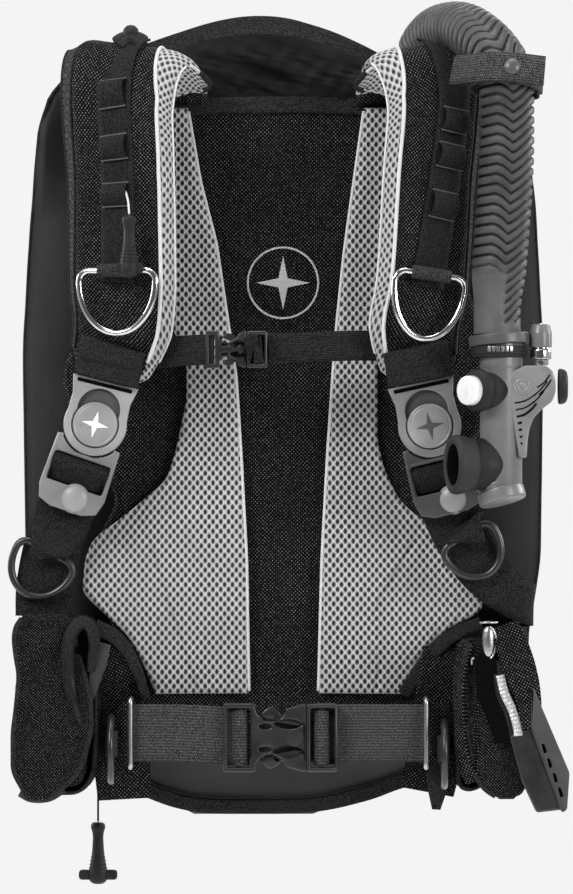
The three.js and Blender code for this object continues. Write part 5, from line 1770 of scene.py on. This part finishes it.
    # Painted shade: dark lines where the valve housing's grooves lie.
    grooves = []
    for k in range(7):
        fall = 5.6 * k
        wide = 1.0 if k < 2 else 1.5
        left = (192.4 + 0.15 * fall, 9.5 - fall)
        far = (1.0, 0.86, 0.6, 0.36, 0.26, 0.2, 0.14)[k]
        line = [(left[0] + a * far, left[1] + b * far)
                for a, b in ((0, 0), (9, 2.2), (19, 9), (27, 18))]
        if k > 2:
            line = line[:2]
        shares = np.linspace(0, 1, 16)
        flat = spline([(a, y - 15.55, b) for a, b in line], shares)
        grooves.append(tube("valve_groove_shade_line", flat, wide * 0.62, 8))
    for k in range(2):
        flat = spline([(211 + 1.5 * k, y - 15.55, 22.5 - 6 * k), (217 + k, y - 15.55, 27 - 5 * k),
                       (221.5 + k, y - 15.55, 33 - 4 * k)], np.linspace(0, 1, 12))
        grooves.append(tube("valve_groove_shade_line", flat, 0.6, 8))
    dressed(joined("valve_groove_shade", grooves), "dark", body="inflator")

    side_key = turned("side_key", softened([
        (0.01, 7.6), (9, 7.4), (12.6, 6.4), (14.2, 4.4), (14.8, 2.4), (14.8, 0), (13.6, -0.6),
        (0.01, -0.6)], 0.8), 56, "X")
    moved(side_key, shift(229.6, y, 23.5))
    dressed(side_key, "rubber", ["inflate_button"], body="inflate_key")

    barb = turned("hose_nipple", softened([
        (0.01, 76), (4.0, 76), (4.9, 75), (4.9, 72.5), (3.9, 71.6), (3.9, 69.5), (5.0, 68.6),
        (5.0, 66.5), (4.4, 65.6), (4.4, 63), (6.6, 62.2), (6.9, 61), (6.9, 55), (8.6, 54.2),
        (8.9, 53), (8.9, 47), (8.4, 46), (6.6, 45.4), (6.6, 41.2), (0.01, 41.2)], 0.5), 56)
    dressed(moved(barb, shift(214.5, y, 0)), "steel", ["inflator_nipple"], body="inflator")
    cap = turned("nipple_cap", softened([
        (6.2, 56), (8.9, 56), (9.3, 57), (9.3, 68), (7.6, 74.6), (5.8, 75.6), (5.4, 74.2),
        (6.2, 66), (6.2, 56)], 0.6), 8)
    dressed(moved(cap, shift(214.5, y, 0)), "inflator", body="inflator")


# ---------------------------------------------------------------- side pockets, pouches, handle


def vessel(name, ring, profile):
    """A closed shell round an outline in the XZ plane. profile is [(inset, y)] from one closed
    end to the other."""
    ring = np.asarray(ring, float)
    grid = []
    for inset, y in profile:
        p = shrunk(ring, inset) if inset else ring
        grid.append(np.stack([p[:, 0], np.full(len(p), float(y)), p[:, 1]], -1))
    return skin(name, np.array(grid))


def even_ring(points, radius, count=120):
    """A rounded closed outline with its points evenly spaced."""
    ring = ring_round(points, radius, 8)
    ring = np.vstack([ring, ring[:1]])
    run = lengths(ring)
    at = np.linspace(0, run[-1], count, endpoint=False)
    return np.stack([np.interp(at, run, ring[:, k]) for k in (0, 1)], -1)


POCKET_RINGS = {
    "right": [(-223, -171), (-156, -171), (-155, -250), (-157, -300), (-168, -318), (-218, -318),
              (-226, -300), (-225, -262), (-222, -215), (-226, -188)],
    "left": [(146, -187), (200, -187), (205, -210), (205, -300), (201, -318), (188, -321),
             (170, -309), (158, -316), (146, -312), (145, -260)],
}
FLAP_LEFT = outline((-322, -213), (-312, -218), (-298, -226), (-264, -226), (-240, -223),
                    (-217, -221), (-200, -224), (-184, -225.5), (-172, -222), (-166, -214))
FLAP_RIGHT = outline((-322, -200), (-312, -184), (-303, -174), (-290, -166), (-262, -159),
                     (-235, -160), (-200, -170), (-180, -174), (-166, -180))


def pockets():
    for side, corners in POCKET_RINGS.items():
        ring = even_ring(corners, 12)
        middle = ring.mean(0)
        shell = vessel(f"{side}_pocket", ring, [
            (22, -44.5), (8, -44.5), (3.6, -50), (3.2, -90), (3.4, -124), (2.4, -127.4),
            (0.8, -127.4), (0.2, -124), (0.4, -118), (-1.0, -100), (-1.2, -84), (0, -66), (1, -52),
            (4, -44), (9, -41.2), (22, -40.6)])

        def folds(p, middle=middle, seed=51 if side == "right" else 57):
            x, y, z = p.T
            away = unit(np.stack([x - middle[0], 0 * x, z - middle[1]], -1))
            swing = 1.5 * ripple(y * 1.4, z + x * 0.6, seed, 5, 60) * smooth((-y - 44) / 20)
            return away * swing[:, None]

        sculpt(shell, folds)
        dressed(shell, "strap_object", [f"{side}_side_pocket"])
        for y in (-126.6, -48):
            rim = np.stack([ring[:, 0], np.full(len(ring), float(y)), ring[:, 1]], -1)
            if y == -126.6:
                rim[:, [0, 2]] = shrunk(ring, 1.6)
            dressed(tube(f"{side}_pocket_binding", rim, 1.7, 8, closed=True), "binding")
    right_pouch()
    left_pouch()
    weight_handle()
    diagonal_tapes()


def right_pouch():
    bag = vessel("right_bag", even_ring(shrunk(POCKET_RINGS["right"], 6.5), 9, 90), [
        (18, -48.6), (5, -50), (0.8, -56), (0, -90), (0.4, -120), (1.2, -129.6), (3, -131.4),
        (16, -131.8)])
    dressed(bag, "strap_object", ["right_weight_pouch"], body="right_pouch")

    def front(x, z):
        valley = (z + 217 + (x + 221) * -0.45) / 11
        fold = 5.5 * np.exp(-valley ** 2) * smooth((x + 234) / 30)
        crease = 2.6 * np.exp(-((z + 262 + (x + 200) * 0.5) / 8) ** 2)
        upper = -3.0 * np.exp(-((x + 200) / 24) ** 2 - ((z + 190) / 22) ** 2)
        lower = -4.5 * np.exp(-((x + 194) / 30) ** 2 - ((z + 282) / 26) ** 2)
        return -140.5 + fold + crease + upper + lower + ripple(x, z, 61, 5, 44)

    left, right = rounded(FLAP_LEFT, 6), rounded(FLAP_RIGHT, 6)
    flap = soft_slab("right_flap", -322, -166, left, right, front, 6.5, 5, 90, 50)
    inflated(flap, 3.0, 3.0)
    dressed(flap, "strap_object", body="right_pouch")
    z = np.linspace(-320, -170, 90)
    for name, edge, inward in (("left", left, 1), ("right", right, -1)):
        x = edge(z) + inward * 1.2
        path = np.stack([x, front(x, z) + 2.2, z], -1)
        dressed(tube(f"right_flap_{name}_binding", path, 2.6, 10), "binding", body="right_pouch")
        x = edge(z) + inward * 9
        path = np.stack([x, front(x, z) - 1.1, z], -1)[8:]
        dressed(tube(f"right_flap_{name}_stitch", path, 0.45, 6), "thread", body="right_pouch")
    lip = band("right_pouch_lip", [
        (-219, -135, -314, 0, -1, 0), (-210, -136, -318.5, 0, -1, 0),
        (-196, -136, -318, 0, -1, 0), (-184, -135, -311, 0, -1, 0)], 10, 3)
    dressed(lip, "skirt_object", body="right_pouch")
    arch = band("right_pouch_arch", [
        (-171, -137, -262, -0.6, -0.8, 0), (-175.6, -143, -240, -0.75, -0.66, 0),
        (-179.4, -147, -214, -0.75, -0.66, 0), (-179, -149, -193, -0.7, -0.66, 0.2),
        (-174, -149, -178, -0.4, -0.66, 0.6), (-166.4, -147, -172.4, 0, -0.66, 0.75),
        (-159.4, -144, -179, 0.5, -0.66, 0.5), (-157.6, -141, -194, 0.7, -0.66, 0),
        (-161, -136, -214, 0.6, -0.8, -0.2)],
        [8, 10, 12.5, 13, 13, 12, 12, 10, 7], 3.4, steps=90)
    dressed(arch, "binding", body="right_pouch")
    # Painted shade: a dark slab in the pouch's opening.
    opening = soft_slab("right_pouch_opening_shade", -262, -174,
                        outline((-262, -168), (-240, -174), (-196, -178), (-174, -169)),
                        outline((-262, -163), (-214, -161), (-190, -157.5), (-174, -163)),
                        lambda x, z: -136.5 + 0.005 * (x + 168) ** 2, 3, 2, 30, 16)
    dressed(opening, "dark", body="right_pouch")


def left_pouch():
    bag = vessel("left_bag", even_ring(shrunk(POCKET_RINGS["left"], 6.5), 6, 90), [
        (14, -48.6), (5, -50), (0.8, -56), (0, -90), (0.4, -120), (1.0, -129.6), (3, -131.4),
        (14, -131.8)])
    dressed(bag, "strap_object", ["left_weight_pouch"], body="left_pouch")
    left = rounded(outline((-322, 184), (-317, 174), (-311, 166), (-300, 159), (-262, 151),
                           (-224, 146), (-196, 152), (-186, 162)), 4)
    right = rounded(outline((-322, 190), (-316, 199), (-306, 203), (-262, 199),
                            (-224, 196), (-186, 188)), 4)

    def front(x, z):
        roll = 3.5 * np.exp(-((x - 158 - (z + 250) * 0.02) / 5) ** 2)
        belly = -4.0 * np.exp(-((x - 176) / 16) ** 2 - ((z + 268) / 44) ** 2)
        return -138.5 + roll + belly + 0.9 * ripple(x, z, 71, 5, 40)

    face = soft_slab("left_face", -321, -188, left, right, front, 7, 6, 90, 40)
    inflated(face, 3.0, 3.0)
    dressed(face, "strap_object", body="left_pouch")
    z = np.linspace(-318, -192, 70)
    x = left(z) + 1.0
    dressed(tube("left_face_binding", np.stack([x, front(x, z) + 2.4, z], -1), 2.6, 10),
            "binding", body="left_pouch")
    fold = band("left_fold", [
        (155, -131, -190, -0.5, -0.85, 0), (149, -134, -215, -0.7, -0.7, 0),
        (147, -135, -250, -0.8, -0.6, 0), (151, -134, -285, -0.6, -0.8, 0),
        (159, -132, -306, -0.4, -0.9, 0)], 12, 5, steps=60, sag=lambda t: 1.5 * np.sin(9 * t))
    dressed(fold, "strap", body="left_pouch")


def weight_handle():
    """The slanted grip of the left pouch: a black block with a slotted, grained outer side, its
    covering strap, the striped tab beside it and the bright clip over it."""
    front = -150
    core = ring_round([(188.4, -267.5), (207, -260), (233, -329), (211, -331.5), (198.6, -305)],
                      2.5, 5)
    block = plate("handle_block", [core], front, front + 17, 1.8, 3)
    side = ring_round([(206, -260), (207.6, -225), (238.6, -298), (236.6, -329), (232, -331.6)],
                      2.5, 5)
    slots = []
    for k in range(4):
        t = 0.25 + 0.19 * k
        px, pz = 209 + (233 - 209) * t, -262 - (326 - 262) * t
        slots.append(ring_round([(px + 0.2, pz + 4.4), (px + 2.6, pz + 3.2), (px + 4.6, pz - 3),
                                 (px + 2.4, pz - 4.4)], 0.8, 3))
    grip = plate("handle_grip", [side, *slots], front - 1.2, front + 15, 1.2, 3)
    # Painted shade: a dark plate behind the grip, seen through its slots.
    slot_shade = plate("handle_slot_shade", [shrunk(side, 1.6)], front + 5, front + 14, 0.5)
    dressed(slot_shade, "dark", body="left_pouch")
    dressed(block, "plastic", ["left_weight_handle"], body="left_pouch")
    dressed(grip, "plastic_grained", body="left_pouch")
    # Painted highlight: a lighter strip along the grip's edge.
    lit = plate("handle_edge_highlight", [ring_round([(206.4, -262), (208.8, -262), (233.6, -328),
                                             (231.4, -329)], 0.6, 3)],
                front - 1.8, front - 0.4, 0.3)
    dressed(lit, "plastic_satin", body="left_pouch")
    cover = band("handle_cover", [
        (184, -137, -176, 0.1, -1, 0.3), (190, -141, -190, 0.1, -1, 0.1),
        (199, -144.5, -217, 0.1, -1, 0), (205, -147, -240, 0.1, -1, 0),
        (206, -148, -262, 0.1, -1, 0)], [24, 25, 27, 27, 25, 21, 18, 14], 5,
        steps=50, columns=10)
    dressed(cover, "strap", body="left_pouch")
    tab = band("striped_tab", [
        (181, -144.5, -217, 0, -1, 0), (184.6, -145.8, -232, 0, -1, 0),
        (191.4, -147.4, -247, 0, -1, 0), (195.4, -148.6, -262, 0, -1, 0),
        (195.8, -149, -267.6, 0, -1, 0)], 7, 2.4, steps=40)
    dressed(tab, "striped", body="left_pouch")
    under = band("tab_backing", [
        (181, -141.4, -205, 0, -1, 0), (183.6, -142.8, -232, 0, -1, 0),
        (190, -144.4, -247, 0, -1, 0), (194, -146, -262, 0, -1, 0),
        (195, -147, -270, 0, -1, 0)], 12, 2.4, steps=40)
    shade = band("tab_shadow", [
        (168, -141.6, -200, 0, -1, 0), (172, -142.4, -232, 0, -1, 0),
        (179, -144, -250, 0, -1, 0), (185, -146, -272, 0, -1, 0)], [17, 20, 19, 17], 2.4, steps=40)
    dressed(shade, "dark", body="left_pouch")
    dressed(under, "binding", body="left_pouch")
    hook = turned("clip_barrel", softened([
        (0.01, 13), (2.4, 12.4), (4.4, 9), (5.2, 3), (5.2, -4), (4.2, -9), (2.2, -12.6),
        (0.01, -13)], 1.4), 32)
    moved(hook, Matrix.Diagonal((1, 0.7, 1, 1)), shift(171.4, -141.5, -189))
    ears = [tube("clip_wire", [(171 + 6.6 * math.cos(a), -142.5, -190 + 13.6 * math.sin(a))
                               for a in np.linspace(-1.3, 1.3, 24)], 1.0, 8),
            tube("clip_bar", [(164, -141, -173.6), (171, -142, -173), (179, -141, -173.6)], 1.1, 8),
            tube("clip_foot", [(157.6, -140, -208.6), (157.8, -141, -203.6), (163.4, -141, -203.4),
                               (163.8, -140, -208.6)], 0.9, 8, steps=24)]
    dressed(joined("pouch_clip", [hook, *ears]), "steel_satin", body="left_pouch")


def diagonal_tapes():
    """The bound edges that run from under the pads down to the waist webbing."""
    right = band("right_wing_tape", [
        (-158, -104, -178, -0.2, -1, 0), (-141, -99, -187, 0, -1, 0),
        (-126, -94, -208, 0.1, -1, 0), (-115, -93, -239, 0, -1, 0)], [13, 12, 10, 7], 3, steps=50)
    left = band("left_wing_tape", [
        (166, -110, -175, 0.2, -1, 0), (148, -103, -182, 0.1, -1, 0),
        (128, -94, -198, -0.1, -1, 0), (112, -84, -220, 0, -1, 0),
        (102, -80, -236, 0, -1, 0)], 11, 3, steps=60)
    for piece in (right, left):
        dressed(piece, "binding")
    for name, stations in (
        ("right", [(-148, -92, -196, 0, -1, 0), (-138, -88, -230, 0, -1, 0),
                   (-137, -86, -270, 0, -1, 0), (-134, -84, -324, 0, -1, 0)]),
        ("left", [(138, -92, -196, 0, -1, 0), (135, -88, -230, 0, -1, 0),
                  (131, -86, -270, 0, -1, 0), (122, -84, -318, 0, -1, 0)])):
        wing = band(f"{name}_wing", stations, [40, 44, 50, 44], 5, steps=60, columns=14,
                    sag=lambda t: 1.6 * np.sin(11 * t))
        dressed(wing, "strap")
    tongue = band("left_tongue", [(130, -93, -286, 0, -1, 0), (130, -94, -312, 0, -1, 0),
                                  (129, -93, -332, 0, -1, 0)], [20, 18, 14, 7], 5, steps=40)
    dressed(tongue, "binding")
    lining = band("right_pouch_lining", [
        (-152, -133, -190, 0, -1, 0), (-157, -134, -208, 0, -1, 0), (-162, -134, -228, 0, -1, 0),
        (-166, -134, -252, 0, -1, 0)], [17, 19, 14, 5], 2, steps=40, columns=10)
    dressed(lining, "skirt_object", body="right_pouch")


# ---------------------------------------------------------------- dump valves and the back side


def dump_valves():
    pull = knob("shoulder_pull", -127.5, -173, 165, 52, 24, "shoulder_pull",
                "shoulder_dump_knob")
    eye = tube("pull_loop", [(-127.5, -171, 166), (-128.4, -166, 176), (-130.5, -152, 184),
                             (-131, -144, 186)], 0.9, 8, steps=30)
    dressed(eye, "piping")
    ball = turned("pull_ball", [(0.01, 7), (3.6, 6.1), (6.1, 3.5), (7, 0), (6.1, -3.5), (3.6, -6.1),
                                (0.01, -7)], 28)
    stack = [band("pull_fold", [(-140, -92 + 2 * k, 303 + 5 * k, -0.2, -0.4, 1),
                                (-129, -90 + 2 * k, 307 + 5.6 * k, 0, -0.3, 1),
                                (-118, -92 + 2 * k, 304 + 5 * k, 0.2, -0.4, 1)], 26, 3.4, steps=24,
                  sag=lambda t: 1.5 * np.sin(math.pi * t)) for k in range(3)]
    dressed(joined("pull_folds", stack), "binding")
    dressed(moved(ball, shift(-128.5, -80, 322.6)), "rubber")

    rim = [(0.01, 13.6), (6, 13.2), (15.4, 12.2), (16.6, 11), (16.8, 8.6), (22.4, 7.6), (23.8, 6.4),
           (24, 4), (24, 0.6), (23, 0), (0.01, 0)]
    valve = turned("shoulder_valve", softened(rim, 0.9), 64, "Y")
    moved(valve, turn(180), shift(-134, -14.6, 250))
    back = turned("shoulder_valve_back", softened([(0.01, 3.2), (15.6, 3.2), (16.8, 2.2),
                                                   (17, -14.8), (0.01, -14.8)], 0.8), 64, "Y")
    moved(back, shift(-134, 0, 250))
    spokes = [tube("valve_spoke", [(-134 + r * math.cos(a), -1.2 - 0.02 * r, 250 + r * math.sin(a))
                                   for r in np.linspace(4, 14, 6)], 0.9, 8)
              for a in round_angles(12)]
    dressed(joined("shoulder_valve", [valve, back, *spokes]), "plastic_satin",
            ["shoulder_dump_valve"])

    disc = turned("rear_valve", softened([(0.01, 2.2), (8, 2.4), (9, 1.2), (17.6, 0.8), (19, 1.4),
                                          (20.6, 0.6), (21, -1.2), (21, -8.6), (20.4, -9.2),
                                          (0.01, -9.2)], 0.7), 64, "Y")
    moved(disc, turn(180), shift(-150, -12.0, -258))
    x, y, _ = CORD_ROUTE[0]
    spout = turned("rear_spout", softened([
        (1.7, -265.4), (3.4, -265.4), (4.2, -268), (4.2, -283), (3.2, -285.4), (2.0, -285.4),
        (1.7, -283), (1.7, -265.4)], 0.5), 32)
    moved(spout, shift(x, y, 0))
    dressed(joined("rear_valve", [disc, spout]), "plastic_satin", ["rear_dump_valve"])


BACK_NODES = {
    # CAD nodes that keep their shape, with their look, slot, bevel and number of bevel steps
    "back_plate": ("plate", "black_plastic", 1.2, 3),
    "grab_handle": ("webbing_object", "webbing", 0.7, 2),
    "tank_band": ("webbing_object", "webbing", 0.6, 2),
    "cam_buckle": ("plastic", "black_plastic", 0.9, 3),
    "cam_lever": ("plastic_satin", "black_plastic", 0.9, 3),
    "hose_elbow": ("plastic", "black_plastic", 1.0, 3),
}


def plate_details():
    """Ribs, bolts and rubber pads on the back plate."""
    ribs = [plate("plate_rib", [box_ring(x - 3, -165, x + 3, 60, 2.6, 4)], 0, 3.4, 0.9, 3)
            for x in (-84, -70, 70, 84)]
    ribs += [plate("plate_rib", [box_ring(-60, z - 3, 60, z + 3, 2.6, 4)], 0, 3.4, 0.9, 3)
             for z in (-150, -136, 132, 146)]
    ribs = [moved(rib, shift(0, -4.4, 0)) for rib in ribs]
    dressed(joined("plate_ribs", ribs), "plate")
    bolts, socket_shades = [], []
    for x, z in ((-77, 120), (77, 120), (-77, 86), (77, 86), (-77, -176), (77, -176)):
        bolt = turned("plate_bolt", softened([(0.01, 3.4), (3.6, 3.4), (6.4, 2.2), (7.6, 0.8),
                                              (7.6, -1), (0.01, -1)], 0.5), 32, "Y")
        bolts.append(moved(bolt, turn(180), shift(x, -3.8, z)))
        angle = round_angles(6)
        # Painted shade: a dark hexagon for each bolt's socket.
        hexagon = 2.6 * np.stack([np.cos(angle), np.sin(angle)], -1) + [x, z]
        socket_shades.append(plate("bolt_socket_shade", [hexagon], -0.6, -0.2, 0.05))
    dressed(joined("plate_bolts", bolts), "steel_satin")
    dressed(joined("bolt_socket_shades", socket_shades), "dark")
    pads = [moved(plate("plate_pad", [box_ring(-26, z - 9, 26, z + 9, 4, 6)], 0, 1.6, 0.6, 3),
                  shift(0, -0.4, 0)) for z in (-94, -60, 78)]
    dressed(joined("plate_pads", pads), "rubber")


def back_side():
    plate_details()
    for node, (look, slot, reach, steps) in BACK_NODES.items():
        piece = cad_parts[node]
        piece.data.materials.clear()
        piece.data.materials.append(LOOK[look])
        bevel = piece.modifiers.new("edges", "BEVEL")
        bevel.width = reach * MM
        bevel.segments = steps
        bevel.limit_method = "ANGLE"
        bevel.angle_limit = math.radians(40)
        bevel.harden_normals = True


# ---------------------------------------------------------------- assembly

stage()
rear_dump()
air_cell()
collar()
panel()
back_pads()
for side in ("right", "left"):
    strap(side)
    neck_lip(side)
    gear_webbing(side)
strap_ends()
rings()
chest_straps()
waist_straps()
buckles()
shoulder_buckle("right", x=-157.5, z=-8, housing_lean=14, slider_lean=19)
shoulder_buckle("left", x=122.9, z=-9.2, housing_lean=-12, slider_lean=-14)
lower_webbings()
hose()
retainer()
inflator()
pockets()
dump_valves()
back_side()
